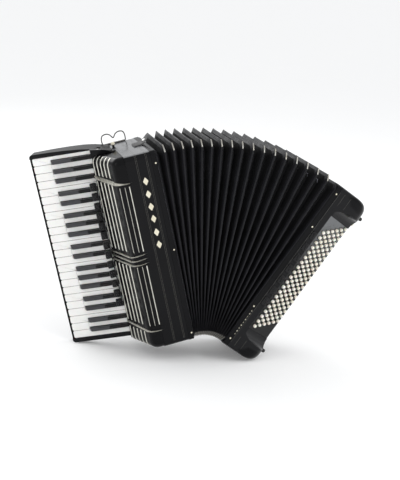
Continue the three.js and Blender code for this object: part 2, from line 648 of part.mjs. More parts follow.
function bassSwitches() {
  const { count, first, pitch, inner, outer, length } = BASS_SWITCHES;
  const blocks = [box([inner + 2, outer - 2], SWITCH_BAR,
    [first - length / 2, first + pitch * (count - 1) + length / 2])];
  for (let i = 0; i < count; i += 1) {
    const z = first + pitch * i;
    blocks.push(box([inner, outer], [-4, SWITCH_BAR[0] + 1], [z - length / 2, z + length / 2]));
  }
  return join(...blocks);
}

// The hand strap bows out from the end of the casing and is fixed at both ends.
function handStrap() {
  const near = BASS_WIDTH + GAP;
  const { front, back, low, high, bow, thick } = HAND_STRAP;
  const middle = (low + high) / 2;
  const shape = new THREE.Shape();
  shape.moveTo(near, low);
  shape.lineTo(near + 6, low);
  shape.bezierCurveTo(near + 20, low + 40, near + bow, low + 70, near + bow, middle);
  shape.bezierCurveTo(near + bow, high - 70, near + 20, high - 40, near + 6, high);
  shape.lineTo(near, high);
  shape.lineTo(near, high - 16);
  shape.bezierCurveTo(near + 14, high - 50, near + bow - thick, high - 80, near + bow - thick, middle);
  shape.bezierCurveTo(near + bow - thick, low + 80, near + 14, low + 50, near, low + 16);
  return plate(shape, front, back, 8);
}

function bassSide() {
  part('bass_bellows_frame', bellowsFrame(), lacquer, bass);
  part('bass_casing', bassCasing(), lacquer, bass);
  const heights = Array.from({ length: 12 }, (_, i) => 80 + 30.7 * i);
  const slots = { heights, width: 12, depth: [150, 184] };
  part('bass_reed_board', reedBoard(bassSpan, BASS_SOUNDBOARD, slots, [70, 100, 128]), timber, bass);
  part('bass_switches', bassSwitches(), ebony, bass);
  part('hand_strap', handStrap(), leather, bass);
  for (const [i, y] of FOOT.depths.entries()) {
    for (const [j, z] of FOOT.heights.entries()) {
      part(`foot_${2 * i + j + 1}`, cylinder(FOOT.radius, [BASS_WIDTH + GAP, y, z],
        [BASS_WIDTH + FOOT.length, y, z], 12), rubber, bass);
    }
  }
  const endPiece = ({ depth, height }, radius, from, to, sides) => cylinder(radius,
    [BASS_WIDTH + from, depth, height], [BASS_WIDTH + to, depth, height], sides);
  part('air_button', endPiece(AIR_BUTTON, AIR_BUTTON.radius, -AIR_BUTTON.inside,
    AIR_BUTTON.outside, 12), ivory, bass);
  part('strap_wheel', join(endPiece(STRAP_WHEEL, STRAP_WHEEL.stem, -14, 3, 10),
    endPiece(STRAP_WHEEL, STRAP_WHEEL.radius, 1, 9, 16)), darkSteel, bass);
  part('button_board', boardPlate(), lacquer, buttonBoard);
  for (let row = 0; row < BUTTON.rows; row += 1) {
    part(`bass_button_row_${row + 1}`, buttonRow(row), ivory, buttonBoard);
  }
}

trebleSide();
keyboard();
trebleFittings();
part('bellows', bellows(), clothTape, accordion);
bassSide();

// The origin is on the floor, under the middle of the whole instrument.
const bounds = new THREE.Box3().setFromObject(accordion, true);
const middle = bounds.getCenter(new THREE.Vector3());
accordion.position.set(-middle.x, -middle.y, -bounds.min.z);

export default accordion;
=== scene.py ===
import math

import bmesh
import bpy
import numpy as np
from mathutils import Matrix, Vector


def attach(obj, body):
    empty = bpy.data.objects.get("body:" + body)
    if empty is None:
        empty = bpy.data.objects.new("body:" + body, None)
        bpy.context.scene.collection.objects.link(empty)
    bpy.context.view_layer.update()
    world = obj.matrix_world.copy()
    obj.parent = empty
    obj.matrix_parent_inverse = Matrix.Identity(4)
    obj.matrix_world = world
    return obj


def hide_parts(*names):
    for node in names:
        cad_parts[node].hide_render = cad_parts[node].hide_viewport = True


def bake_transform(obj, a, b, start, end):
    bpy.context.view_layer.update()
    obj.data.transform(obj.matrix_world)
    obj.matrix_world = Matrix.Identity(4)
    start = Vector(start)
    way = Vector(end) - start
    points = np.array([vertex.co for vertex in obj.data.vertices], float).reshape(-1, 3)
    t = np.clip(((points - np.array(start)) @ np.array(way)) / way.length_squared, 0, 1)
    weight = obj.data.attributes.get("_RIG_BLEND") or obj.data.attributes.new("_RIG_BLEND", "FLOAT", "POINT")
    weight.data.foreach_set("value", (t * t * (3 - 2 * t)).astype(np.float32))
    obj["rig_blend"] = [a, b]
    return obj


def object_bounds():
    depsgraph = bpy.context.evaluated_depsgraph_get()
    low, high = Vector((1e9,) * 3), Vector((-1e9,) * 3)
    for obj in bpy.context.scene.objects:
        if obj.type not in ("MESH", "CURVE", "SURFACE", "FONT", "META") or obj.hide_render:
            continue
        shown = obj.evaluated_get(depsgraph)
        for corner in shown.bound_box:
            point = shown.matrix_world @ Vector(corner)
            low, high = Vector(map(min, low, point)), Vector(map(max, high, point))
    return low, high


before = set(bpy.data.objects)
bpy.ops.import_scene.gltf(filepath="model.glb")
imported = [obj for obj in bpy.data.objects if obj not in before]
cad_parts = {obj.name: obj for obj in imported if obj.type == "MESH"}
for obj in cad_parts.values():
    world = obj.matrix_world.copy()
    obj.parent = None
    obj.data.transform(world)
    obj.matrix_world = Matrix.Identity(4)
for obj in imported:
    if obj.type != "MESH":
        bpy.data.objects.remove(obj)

CAD_BOX = [list(corner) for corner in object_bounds()]
MM = 0.001
TREBLE_LEAN, BASS_LEAN = -15.91, 32.99  # degrees from upright


# ---- where the CAD pieces are --------------------------------------------------------------
def side_axes(node, lean, bellows_face):
    """Leaning axes whose origin is the lower front edge of a bellows frame, and its size."""
    turn = Matrix.Rotation(math.radians(lean), 4, "Y")
    points = np.array([v.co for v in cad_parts[node].data.vertices]) @ np.array(turn.to_3x3())
    low, high = points.min(0), points.max(0)
    corner = Vector(((low, high)[bellows_face][0], low[1], low[2]))
    return Matrix.Translation(turn @ corner) @ turn, (high - low) / MM


def span(node, place):
    """Lowest and highest corner of a CAD node on a side's axes, in millimetres."""
    points = np.array([v.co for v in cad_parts[node].data.vertices])
    back = np.array(place.inverted())
    points = (points @ back[:3, :3].T + back[:3, 3]) / MM
    return points.min(0), points.max(0)


TREBLE, (FRAME_THICK, CASE_DEPTH, CASE_HEIGHT) = side_axes("treble_bellows_frame", TREBLE_LEAN, 1)
BASS, _ = side_axes("bass_bellows_frame", BASS_LEAN, 0)
BOARD_START, BOARD_SUNK, BOARD_TILT = 32, 2, 30
BOARD = (BASS @ Matrix.Translation((BOARD_START * MM, BOARD_SUNK * MM, 0))
         @ Matrix.Rotation(math.radians(BOARD_TILT), 4, "Z"))
KEY_MEET, KEY_TILT = Vector((-142, 119, 0)), -22.8  # where the leaning keys meet the cover
KEYBOARD = (TREBLE @ Matrix.Translation(KEY_MEET * MM)
            @ Matrix.Rotation(math.radians(KEY_TILT), 4, "Z") @ Matrix.Translation(-KEY_MEET * MM))


# ---- outlines ------------------------------------------------------------------------------
def quarter(count):
    """Angles from 0 to a quarter turn, both ends included."""
    return np.linspace(0, math.pi / 2, count)


def full_turn(count):
    """Angles spread over a full turn."""
    return np.arange(count) * 2 * math.pi / count


def flat_normal(path, i):
    """Unit normal of a flat path at its point i."""
    way = np.subtract(path[min(i + 1, len(path) - 1)], path[max(i - 1, 0)])
    way = way / np.linalg.norm(way)
    return np.array([way[1], -way[0]])


def inset(outline, distance):
    """An anticlockwise outline moved inwards by a distance."""
    points = np.array(outline, float)
    if not distance:
        return points

    def normals(way):
        return np.stack([-way[:, 1], way[:, 0]], 1) / np.linalg.norm(way, axis=1)[:, None]

    after = normals(np.roll(points, -1, 0) - points)
    middle = normals(points - np.roll(points, 1, 0)) + after
    middle /= np.linalg.norm(middle, axis=1)[:, None]
    return points + middle * (distance / np.maximum((middle * after).sum(1), 0.35))[:, None]


def soften(corners, radius, steps=4):
    """An outline with its corners rounded. The radius is one number, or one for each corner."""
    corners = np.array(corners, float)
    points = []
    for i, (corner, r) in enumerate(zip(corners, np.broadcast_to(radius, len(corners)))):
        if not r:
            points.append(corner)
            continue
        ends = [corner + r * (p - corner) / np.linalg.norm(p - corner)
                for p in (corners[i - 1], corners[(i + 1) % len(corners)])]
        for t in np.linspace(0, 1, steps + 1):
            points.append((1 - t) ** 2 * ends[0] + 2 * t * (1 - t) * corner + t ** 2 * ends[1])
    return np.array(points)


def rectangle(a, b, radius=0, steps=4):
    """A rectangle from corner a to corner b."""
    return soften([(a[0], a[1]), (b[0], a[1]), (b[0], b[1]), (a[0], b[1])], radius, steps)


def curve(points, steps):
    """Points along a smooth curve through the given ones."""
    points = np.array(points, float)
    ends = np.vstack([2 * points[0] - points[1], points, 2 * points[-1] - points[-2]])
    out = []
    for i in range(len(points) - 1):
        p0, p1, p2, p3 = ends[i:i + 4]
        for t in np.arange(steps) / steps:
            out.append(0.5 * (2 * p1 + (p2 - p0) * t + (2 * p0 - 5 * p1 + 4 * p2 - p3) * t ** 2
                              + (3 * p1 - p0 - 3 * p2 + p3) * t ** 3))
    return np.array(out + [points[-1]])


def rounded_levels(low, high, low_round, high_round=None, steps=3):
    """Places from low to high, each with the inset that rounds the edges at the two ends."""
    high_round = low_round if high_round is None else high_round
    turns = quarter(steps + 1)
    start = [(low + low_round * (1 - math.cos(t)), low_round * (1 - math.sin(t))) for t in turns]
    end = [(high - high_round * (1 - math.cos(t)), high_round * (1 - math.sin(t))) for t in turns]
    return (start if low_round else [(low, 0)]) + (end[::-1] if high_round else [(high, 0)])


# ---- shapes --------------------------------------------------------------------------------
def band(a, b, size):
    """Faces between two rings of points, numbered from a and from b."""
    return [[a + j, a + (j + 1) % size, b + (j + 1) % size, b + j] for j in range(size)]


class Shape:
    """The points and faces of a piece, with the number of the look that each face takes."""

    def __init__(self):
        self.points, self.faces, self.looks = [], [], []

    def add(self, points, faces, look=0):
        first = len(self.points)
        self.points.extend(tuple(p) for p in points)
        self.faces.extend([first + i for i in face] for face in faces)
        self.looks.extend([look] * len(faces))
        return self

    def merge(self, other, look=0):
        """Another shape's faces, their look numbers raised by look."""
        first = len(self.points)
        self.points.extend(other.points)
        self.faces.extend([first + i for i in face] for face in other.faces)
        self.looks.extend(look + number for number in other.looks)
        return self

    def loft(self, rings, look=0, capped=True, looped=False):
        """A skin over rings of equally many points."""
        size, count = len(rings[0]), len(rings)
        faces = []
        for i in range(count if looped else count - 1):
            a, b = i * size, (i + 1) % count * size
            faces += band(a, b, size)
        if capped and not looped:
            faces += [list(range(size))[::-1], list(range(size * (count - 1), size * count))]
        return self.add([p for ring in rings for p in ring], faces, look)

    def prism(self, outline, axis, levels, look=0):
        """An outline drawn out along an axis, inset at each level as it says."""
        rings = [np.insert(inset(outline, d), axis, level, axis=1) for level, d in levels]
        return self.loft(rings, look)

    def block(self, low, high, radius, axis=1, look=0, steps=2):
        """A box with its edges rounded."""
        flat = [i for i in range(3) if i != axis]
        outline = rectangle([low[i] for i in flat], [high[i] for i in flat], radius, steps)
        return self.prism(outline, axis, rounded_levels(low[axis], high[axis], radius, steps=steps),
                          look)

    def lathe(self, profile, base, way, sides=16, look=0):
        """A profile of radius and height turned about a line that starts at base."""
        way = Vector(way).normalized()
        across = way.orthogonal().normalized()
        other = way.cross(across)
        spokes = [across * math.cos(t) + other * math.sin(t) for t in full_turn(sides)]
        rings = [[Vector(base) + way * height + spoke * radius for spoke in spokes]
                 for radius, height in profile]
        return self.loft(rings, look)

    def tube(self, path, radius, sides=8, look=0):
        """A round rod along a path."""
        path = [Vector(p) for p in path]
        rings, across = [], None
        for i, p in enumerate(path):
            way = (path[min(i + 1, len(path) - 1)] - path[max(i - 1, 0)]).normalized()
            across = way.orthogonal() if across is None else across - way * across.dot(way)
            across.normalize()
            other = way.cross(across)
            rings.append([p + radius * (across * math.cos(t) + other * math.sin(t))
                          for t in full_turn(sides)])
        return self.loft(rings, look)


def moved(shape, old, new):
    """A shape given on one set of axes, turned to another."""
    turn = new.inverted() @ old
    turn = Matrix.Translation(turn.translation / MM) @ turn.to_3x3().to_4x4()
    shape.points = [tuple(turn @ Vector(p)) for p in shape.points]
    return shape


def new_mesh(name, points, faces, looks):
    """A mesh of points in metres, with its faces turned outwards."""
    mesh = bpy.data.meshes.new(name)
    mesh.from_pydata(points, [], faces)
    mesh.polygons.foreach_set("material_index", looks)
    bm = bmesh.new()
    bm.from_mesh(mesh)
    bmesh.ops.recalc_face_normals(bm, faces=bm.faces)
    bm.to_mesh(mesh)
    bm.free()
    return mesh


def mesh_of(shape, name="shape"):
    return new_mesh(name, [Vector(p) * MM for p in shape.points], shape.faces, shape.looks)


def new_object(name, data):
    """An object in the scene that holds a mesh, a lamp or a camera."""
    obj = bpy.data.objects.new(name, data)
    bpy.context.scene.collection.objects.link(obj)
    return obj


SHARP_EDGE = 32  # degrees; flatter edges of a CAD shape aren't rounded


def from_cad(node, place, bevel):
    """A CAD node's own shape on its side's axes, with its sharp edges rounded."""
    bm = bmesh.new()
    bm.from_mesh(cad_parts[node].data)
    bm.transform(place.inverted())
    bmesh.ops.remove_doubles(bm, verts=bm.verts, dist=0.02 * MM)
    bmesh.ops.dissolve_limit(bm, angle_limit=math.radians(1), verts=bm.verts, edges=bm.edges)
    edges = [e for e in bm.edges
             if e.is_manifold and e.calc_face_angle(0) > math.radians(SHARP_EDGE)]
    bmesh.ops.bevel(bm, geom=edges, offset=bevel * MM, offset_type="OFFSET", segments=2,
                    profile=0.5, affect="EDGES", clamp_overlap=True)
    mesh = bpy.data.meshes.new(node)
    bm.to_mesh(mesh)
    bm.free()
    return mesh


def carve(mesh, *cutters):
    """The mesh with other shapes cut out of it. New faces take the cutter's look number."""
    base = new_object("base", mesh)
    tools = []
    for cutter in cutters:
        tool = new_object("tool", mesh_of(cutter))
        for target, count in ((mesh, 3), (tool.data, 3)):
            while len(target.materials) < count:
                target.materials.append(None)
        change = base.modifiers.new("cut", "BOOLEAN")
        change.operation, change.solver, change.object = "DIFFERENCE", "EXACT", tool
        tools.append(tool)
    done = bpy.data.meshes.new_from_object(
        base.evaluated_get(bpy.context.evaluated_depsgraph_get()))
    for extra in [base, *tools]:
        bpy.data.objects.remove(extra)
    done.materials.clear()
    return done


def piece(name, shape, place, body, looks, replaces=(), sharp=35, bevel=0):
    """One finished object that rides on a body. The shape is a Shape or a mesh."""
    mesh = mesh_of(shape, name) if isinstance(shape, Shape) else shape
    numbers = np.zeros(len(mesh.polygons), np.int32)
    mesh.polygons.foreach_get("material_index", numbers)
    mesh.materials.clear()
    for look in looks:
        mesh.materials.append(look)
    mesh.polygons.foreach_set("material_index", np.minimum(numbers, len(looks) - 1))
    mesh.polygons.foreach_set("use_smooth", [True] * len(mesh.polygons))
    mesh.set_sharp_from_angle(angle=math.radians(sharp))
    obj = new_object(name, mesh)
    obj.matrix_world = place
    if bevel:
        edges = obj.modifiers.new("edges", "BEVEL")
        edges.width, edges.segments, edges.limit_method = bevel * MM, 2, "ANGLE"
        edges.angle_limit, edges.harden_normals = math.radians(sharp), False
    weigh = obj.modifiers.new("normals", "WEIGHTED_NORMAL")
    weigh.keep_sharp, weigh.weight = not bevel, 90
    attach(obj, body)
    if replaces:
        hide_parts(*replaces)
    return obj


# ---- looks ---------------------------------------------------------------------------------
class Look:
    """A procedural material: makers of nodes around one Principled shader."""

    def __init__(self, name, **values):
        self.material = bpy.data.materials.new(name)
        self.material.use_nodes = True
        self.tree = self.material.node_tree
        self.shader = self.tree.nodes["Principled BSDF"]
        for key, value in values.items():
            self.put(key.replace("_", " "), value)

    def put(self, socket, value):
        self.link(value, self.shader.inputs[socket])

    def link(self, value, socket):
        if isinstance(value, bpy.types.NodeSocket):
            self.tree.links.new(value, socket)
        elif hasattr(value, "__len__") and len(value) == 3 and socket.type == "RGBA":
            socket.default_value = (*value, 1)
        else:
            socket.default_value = value

    def node(self, kind, inputs=(), **settings):
        made = self.tree.nodes.new(kind)
        for key, value in settings.items():
            setattr(made, key, value)
        for key, value in dict(inputs).items():
            self.link(value, made.inputs[key])
        return made

    def place(self, stretch=(1, 1, 1), turn=(0, 0, 0)):
        where = self.node("ShaderNodeTexCoord").outputs["Object"]
        return self.node("ShaderNodeMapping", {"Vector": where, "Scale": stretch,
                                               "Rotation": turn}).outputs[0]

    def noise(self, scale, detail=3, stretch=(1, 1, 1), roughness=0.5, turn=(0, 0, 0)):
        return self.node("ShaderNodeTexNoise", {
            "Vector": self.place(stretch, turn), "Scale": scale, "Detail": detail,
            "Roughness": roughness}).outputs[0]

    def wave(self, scale, axis, distortion=0, detail=2):
        return self.node("ShaderNodeTexWave", {
            "Vector": self.place(), "Scale": scale, "Distortion": distortion,
            "Detail": detail}, bands_direction=axis).outputs["Fac"]

    def cells(self, scale):
        return self.node("ShaderNodeTexVoronoi", {"Vector": self.place(), "Scale": scale},
                         feature="SMOOTH_F1").outputs["Distance"]

    def along(self, axis, start, end):
        """0 at start and 1 at end, in millimetres along an axis."""
        where = self.node("ShaderNodeSeparateXYZ", {0: self.place()}).outputs[axis]
        return self.node("ShaderNodeMapRange", {
            "Value": where, "From Min": start * MM, "From Max": end * MM}).outputs[0]

    def span(self, value, low, high, start=0.0, end=1.0):
        """A value from start to end spread over low to high."""
        return self.node("ShaderNodeMapRange", {
            "Value": value, "From Min": start, "From Max": end, "To Min": low,
            "To Max": high}).outputs[0]

    def sums(self, operation, a, b):
        made = self.node("ShaderNodeMath", operation=operation)
        self.link(a, made.inputs[0])
        self.link(b, made.inputs[1])
        return made.outputs[0]

    def mix(self, share, a, b):
        made = self.node("ShaderNodeMix", data_type="RGBA")
        self.link(share, made.inputs[0])
        self.link(a, made.inputs[6])
        self.link(b, made.inputs[7])
        return made.outputs[2]

    def wear(self, start=0.52, end=0.62):
        """1 on outward edges, 0 elsewhere."""
        point = self.node("ShaderNodeNewGeometry").outputs["Pointiness"]
        return self.span(point, 0, 1, start, end)

    def bump(self, height, depth, normal=None):
        """A bump whose full height is depth, in millimetres."""
        inputs = {"Height": height, "Strength": 1, "Distance": depth * MM}
        if normal is not None:
            inputs["Normal"] = normal
        return self.node("ShaderNodeBump", inputs).outputs[0]


def scratches(look, scale=30):
    """Fine crossing hairlines, mostly 0 and 1 on a scratch."""
    lines = None
    for turn in (0.4, 1.5, 2.4):
        streak = look.noise(scale, 1, (1, 1, 60), turn=(turn, turn * 0.7, 0.3))
        line = look.span(streak, 0, 1, 0.66, 0.74)
        lines = line if lines is None else look.sums("MAXIMUM", lines, line)
    return lines


def lacquer(name, colour=(0.003, 0.003, 0.0035), worn=(0.012, 0.012, 0.013), gloss=0.09,
            specular=0.13):
    """Polished black celluloid: slow ripple, smudges, hairlines and slightly paler edges."""
    look = Look(name, IOR=1.45, Specular_IOR_Level=specular)
    smudge = look.noise(22, 5, roughness=0.6)
    shade = look.mix(look.span(look.noise(6, 3), 0, 1, 0.35, 0.65), colour,
                     tuple(1.7 * c for c in colour))
    hair = scratches(look)
    shade = look.mix(look.span(hair, 0, 0.25), shade, (0.012, 0.012, 0.013))
    look.put("Base Color", look.mix(look.wear(0.53, 0.66), shade, worn))
    rough = look.span(smudge, gloss, gloss + 0.12, 0.35, 0.75)
    look.put("Roughness", look.sums("ADD", rough, look.span(hair, 0, 0.12)))
    ripple = look.bump(look.noise(18, 1), 0.12)
    look.put("Normal", look.bump(hair, -0.004, ripple))
    return look.material


def plastic(name, colour, other, rough=0.2, subsurface=0.0, wear_colour=None, specular=0.5):
    """Moulded plastic with cloudy colour, smudges and hairlines."""
    look = Look(name, IOR=1.48, Subsurface_Weight=subsurface, Subsurface_Scale=0.002,
                Specular_IOR_Level=specular)
    cloud = look.span(look.noise(35, 4), 0, 1, 0.35, 0.7)
    shade = look.mix(cloud, colour, other)
    hair = scratches(look, 60)
    shade = look.mix(look.span(hair, 0, 0.2), shade, tuple(0.7 * c + 0.02 for c in colour))
    if wear_colour:
        shade = look.mix(look.wear(), shade, wear_colour)
    look.put("Base Color", shade)
    smudge = look.span(look.noise(70, 4), rough, rough + 0.14, 0.35, 0.7)
    look.put("Roughness", look.sums("ADD", smudge, look.span(hair, 0, 0.15)))
    look.put("Normal", look.bump(look.noise(260, 2), 0.01, look.bump(hair, -0.004)))
    return look.material


def metal(name, colour, rough=0.2, brushed=(1, 1, 40), tarnish=(0.2, 0.17, 0.12), amount=0.35):
    """Plated metal, drawn along Z, with tarnish in patches."""
    look = Look(name, Metallic=1.0)
    patch = look.span(look.noise(55, 6, roughness=0.65), 0, amount, 0.45, 0.75)
    look.put("Base Color", look.mix(patch, colour, tarnish))
    grain = look.noise(900, 2, tuple(1 / b for b in brushed))
    rough_map = look.span(look.noise(40, 4), rough, rough + 0.18, 0.3, 0.75)
    look.put("Roughness", look.sums("ADD", rough_map, look.span(grain, -0.03, 0.05)))
    look.put("Normal", look.bump(grain, 0.01))
    return look.material


def leather(name, colour, other, scale=420, rough=0.5):
    """Grained leather: pebbles, creases and rubbed high spots."""
    look = Look(name, IOR=1.45, Sheen_Weight=0.15)
    pebble = look.cells(scale)
    crease = look.noise(scale / 6, 4)
    shade = look.mix(look.span(pebble, 0, 1, 0.1, 0.7), other, colour)
    shade = look.mix(look.wear(0.53, 0.62), shade, tuple(1.8 * c + 0.03 for c in other))
    look.put("Base Color", look.mix(look.span(crease, 0, 0.5, 0.4, 0.7), shade, colour))
    look.put("Roughness", look.span(pebble, rough, rough + 0.25))
    look.put("Normal", look.bump(pebble, -0.25, look.bump(crease, 0.3)))
    return look.material


def cloth(name, colour, other, thread, rough, sheen):
    """Woven tape: two sets of threads, with dust in the weave."""
    look = Look(name, IOR=1.4, Sheen_Weight=sheen, Sheen_Roughness=0.4, Specular_IOR_Level=0.25)
    scale = 1 / (thread * MM) / 3
    warp, weft = look.wave(scale, "Z"), look.wave(scale, "Y")
    weave = look.sums("MULTIPLY", warp, weft)
    dust = look.span(look.noise(30, 5, roughness=0.65), 0, 1, 0.4, 0.75)
    shade = look.mix(weave, other, colour)
    shade = look.mix(look.sums("MULTIPLY", dust, 0.3), shade, tuple(2 * c + 0.003 for c in colour))
    look.put("Base Color", shade)
    look.put("Roughness", look.span(dust, rough, rough + 0.2))
    look.put("Normal", look.bump(weave, 0.12))
    return look.material


def timber(name, light, dark, along="Z", rough=0.5):
    """Planed wood with rings and pores along the grain."""
    look = Look(name, IOR=1.4)
    rings = look.wave(28, "Y" if along == "Z" else "Z", 6, 3)
    stretch = (1, 1, 0.04) if along == "Z" else (0.04, 1, 1)
    pores = look.noise(700, 3, stretch)
    shade = look.mix(look.span(rings, 0, 1, 0.2, 0.9), light, dark)
    look.put("Base Color", look.mix(look.span(pores, 0, 0.5, 0.5, 0.75), shade, dark))
    look.put("Roughness", look.span(pores, rough, rough + 0.2))
    look.put("Normal", look.bump(pores, 0.08))
    return look.material


def black_key_look():
    """Polished black keys. The grey bloom imitates the photo's reflection; it's a guess."""
    look = Look("black_key_polish", IOR=1.45, Specular_IOR_Level=0.25)
    outer_part = look.span(look.along(0, -186, -190), 0, 1)
    painted_reflection = look.sums("MULTIPLY", outer_part, look.span(look.noise(60, 5), 0.75, 1.0, 0.3, 0.7))
    # the paler grey on the keys' outer part is a painted reflection
    look.put("Base Color", look.mix(painted_reflection, (0.004, 0.004, 0.0045), (0.055, 0.055, 0.06)))
    hair = scratches(look, 60)
    look.put("Roughness", look.sums("ADD", look.span(painted_reflection, 0.18, 0.34), look.span(hair, 0, 0.1)))
    look.put("Normal", look.bump(hair, -0.004))
    return look.material


def board_look():
    """Satin button board. Its paler upper end imitates the photo's reflection; it's a guess."""
    look = Look("board_lacquer", IOR=1.45, Specular_IOR_Level=0.25)
    fade = look.along(2, 260, 415)
    cloud = look.span(look.noise(50, 4), 0.85, 1.0, 0.3, 0.7)
    fade = look.sums("MULTIPLY", fade, cloud)
    look.put("Base Color", look.mix(fade, (0.004, 0.004, 0.0045), (0.16, 0.165, 0.17)))
    look.put("Metallic", look.span(fade, 0.0, 0.5))
    hair = scratches(look, 50)
    look.put("Roughness", look.sums("ADD", look.span(fade, 0.16, 0.3), look.span(hair, 0, 0.1)))
    look.put("Normal", look.bump(hair, -0.004))
    return look.material


BLACK = lacquer("black_lacquer_polish")
SATIN = lacquer("satin_black", (0.02, 0.02, 0.021), (0.04, 0.04, 0.04), 0.34)
# grey where the photo has a reflection, on the treble casing's upper face
TOP = lacquer("top_painted_reflection", (0.11, 0.112, 0.118), (0.16, 0.16, 0.165), 0.12, 1.0)
STRIPE = plastic("stripe_inlay", (0.1, 0.097, 0.085), (0.07, 0.066, 0.055), 0.3)
WHITE_KEY = plastic("white_key_plastic", (0.9, 0.895, 0.88), (0.86, 0.85, 0.82), 0.14,
                    subsurface=0.05)
BUTTON = plastic("button_plastic", (0.9, 0.88, 0.8), (0.85, 0.8, 0.68), 0.16, subsurface=0.08)
IVORY = plastic("ivory_inlay", (0.8, 0.76, 0.62), (0.7, 0.64, 0.48), 0.22)
BLACK_KEY = black_key_look()
PANEL = board_look()
EBONITE = plastic("black_switch_plastic", (0.005, 0.005, 0.006), (0.009, 0.009, 0.01), 0.22,
                  wear_colour=(0.03, 0.03, 0.03), specular=0.25)
CHROME = metal("polished_chrome", (0.82, 0.82, 0.8), 0.1)
STRIP = metal("nickel_strip", (0.78, 0.77, 0.7), 0.24, amount=0.25)
BAR = metal("cross_bar_nickel", (0.5, 0.49, 0.44), 0.2, (40, 1, 1), amount=0.5)
CORNER = metal("bellows_corner_nickel", (0.42, 0.41, 0.38), 0.22, tarnish=(0.3, 0.22, 0.1))
WIRE = metal("dark_wire", (0.12, 0.115, 0.11), 0.3, tarnish=(0.05, 0.04, 0.03))
STEEL = metal("drawn_steel", (0.55, 0.55, 0.56), 0.25)
ALLOY = metal("lever_alloy", (0.6, 0.61, 0.62), 0.35)
TAPE = cloth("bellows_tape", (0.01, 0.01, 0.0125), (0.006, 0.006, 0.0075), 1.2, 0.36, 0.03)
CARD = cloth("bellows_card", (0.0035, 0.0035, 0.004), (0.002, 0.002, 0.0025), 1.6, 0.75, 0.0)
LINING = cloth("bellows_lining", (0.3, 0.3, 0.34), (0.22, 0.22, 0.26), 1.4, 0.8, 0.2)
HIDE = leather("black_hide", (0.008, 0.008, 0.009), (0.02, 0.019, 0.019))
TAB_HIDE = leather("grey_tab_hide", (0.012, 0.012, 0.013), (0.04, 0.04, 0.041), 300)
VELVET = cloth("strap_lining", (0.05, 0.012, 0.014), (0.03, 0.008, 0.01), 0.8, 0.9, 0.6)
THREAD = cloth("stitching_thread", (0.3, 0.29, 0.27), (0.2, 0.19, 0.18), 0.5, 0.7, 0.3)
MAPLE = timber("stained_maple", (0.05, 0.036, 0.026), (0.02, 0.014, 0.01), "X")
SPRUCE = timber("spruce", (0.66, 0.5, 0.3), (0.48, 0.32, 0.17))
FELT = cloth("pallet_felt", (0.35, 0.04, 0.04), (0.2, 0.02, 0.02), 0.7, 0.95, 0.6)
RUBBER = plastic("foot_rubber_look", (0.012, 0.012, 0.012), (0.02, 0.02, 0.02), 0.55)


# ---- treble casing and bellows frames ------------------------------------------------------
def treble_casing():
    """The CAD shape, its upper face in a paler grey lacquer that paints a reflection.

    The block cut from the lower lip, beside the keyboard, and the shelf in its place aren't on
    the object. They are left from a mistaken repair.
    """
    body = carve(from_cad("treble_casing", TREBLE, 0.8),
                 Shape().block((-150, 107, -5), (-127, 151.3, 9), 0.01))
    for face in body.polygons:
        # upward faces near the top take the paler lacquer, a painted reflection
        face.material_index = int(face.normal.z > 0.9 and face.center.z > 490 * MM)
    piece("treble_body", body, TREBLE, "treble", [BLACK, TOP],
          ["treble_casing"])
    shelf = Shape().block((-141.6, 108.6, 8.7), (-126, 150.7, 12), 0.5)
    piece("treble_body_shelf", shelf, TREBLE, "treble", [BLACK])


def bellows_frame(name, place, body, side):
    """A frame with a rounded outside and a straight inner opening."""
    outer = rectangle((0, 0), (CASE_DEPTH, CASE_HEIGHT), 11, 6)
    shape = Shape()
    inner = rectangle((13, 13), (CASE_DEPTH - 13, CASE_HEIGHT - 13), 6, 6)
    outside = [np.insert(inset(outer, d), 0, side * x, axis=1)
               for x, d in rounded_levels(0.2, FRAME_THICK, 2.2, 0.6)]
    inside = [np.insert(inner, 0, side * x, axis=1) for x in (FRAME_THICK, 0.2)]
    shape.loft(outside + inside, looped=True)
    piece(name + "_shell", shape, place, body, [BLACK], [name])


def dome(shape, centre, radius, height, look=0, sides=14):
    """A round-headed pin that stands out of the front."""
    turns = quarter(5)[:-1]
    profile = [(radius, -1)] + [(radius * math.cos(t), height * math.sin(t)) for t in turns]
    shape.lathe(profile + [(radius * 0.15, height)], centre, (0, -1, 0), sides, look)


FRAME_PINS = (("treble", TREBLE, -5, (467, 243, 20)),  # side, place, X, heights
              ("bass", BASS, 9, (474, 372, 123, 22)))


def frame_pins():
    for side, place, x, heights in FRAME_PINS:
        shape = Shape()
        for height in heights:
            dome(shape, (x, 0, height), 2.2, 1.0)
        piece(side + "_frame_pins", shape, place, side, [IVORY])


# ---- treble cover --------------------------------------------------------------------------
COVER = {"front": 78.3, "corner": 112, "corner_depth": 22, "outer": 142, "back": 106, "edge": 2}
COVER_ROUND = 19  # rounded upper and lower ends
BARS = [(443, 437, 434, 11), (252, 246, 252, 5), (241, 235, 240, 5), (230, 224, 228, 5),
        (58, 50, 49, 6)]  # heights at the outer edge, corner and inner end, and width


def cover_section():
    """Section of the cover: from the flat front round the bead and down the slope."""
    bead = [(-COVER["front"], 0), (-COVER["front"] - 6, 0)]
    start, middle, end = (np.array(p, float) for p in
                          ((-84.3, 0), (-108, 0), (-COVER["corner"], COVER["corner_depth"])))
    for t in np.linspace(0.08, 1, 12):
        bead.append((1 - t) ** 2 * start + 2 * t * (1 - t) * middle + t ** 2 * end)
    slope = np.linspace(end, (-COVER["outer"], COVER["back"]), 14)[1:]
    return np.vstack([bead, slope, [(-COVER["outer"], COVER["back"] + COVER["edge"])]])


SECTION = cover_section()
STEPS = np.r_[0, np.cumsum(np.linalg.norm(np.diff(SECTION, axis=0), axis=1))]


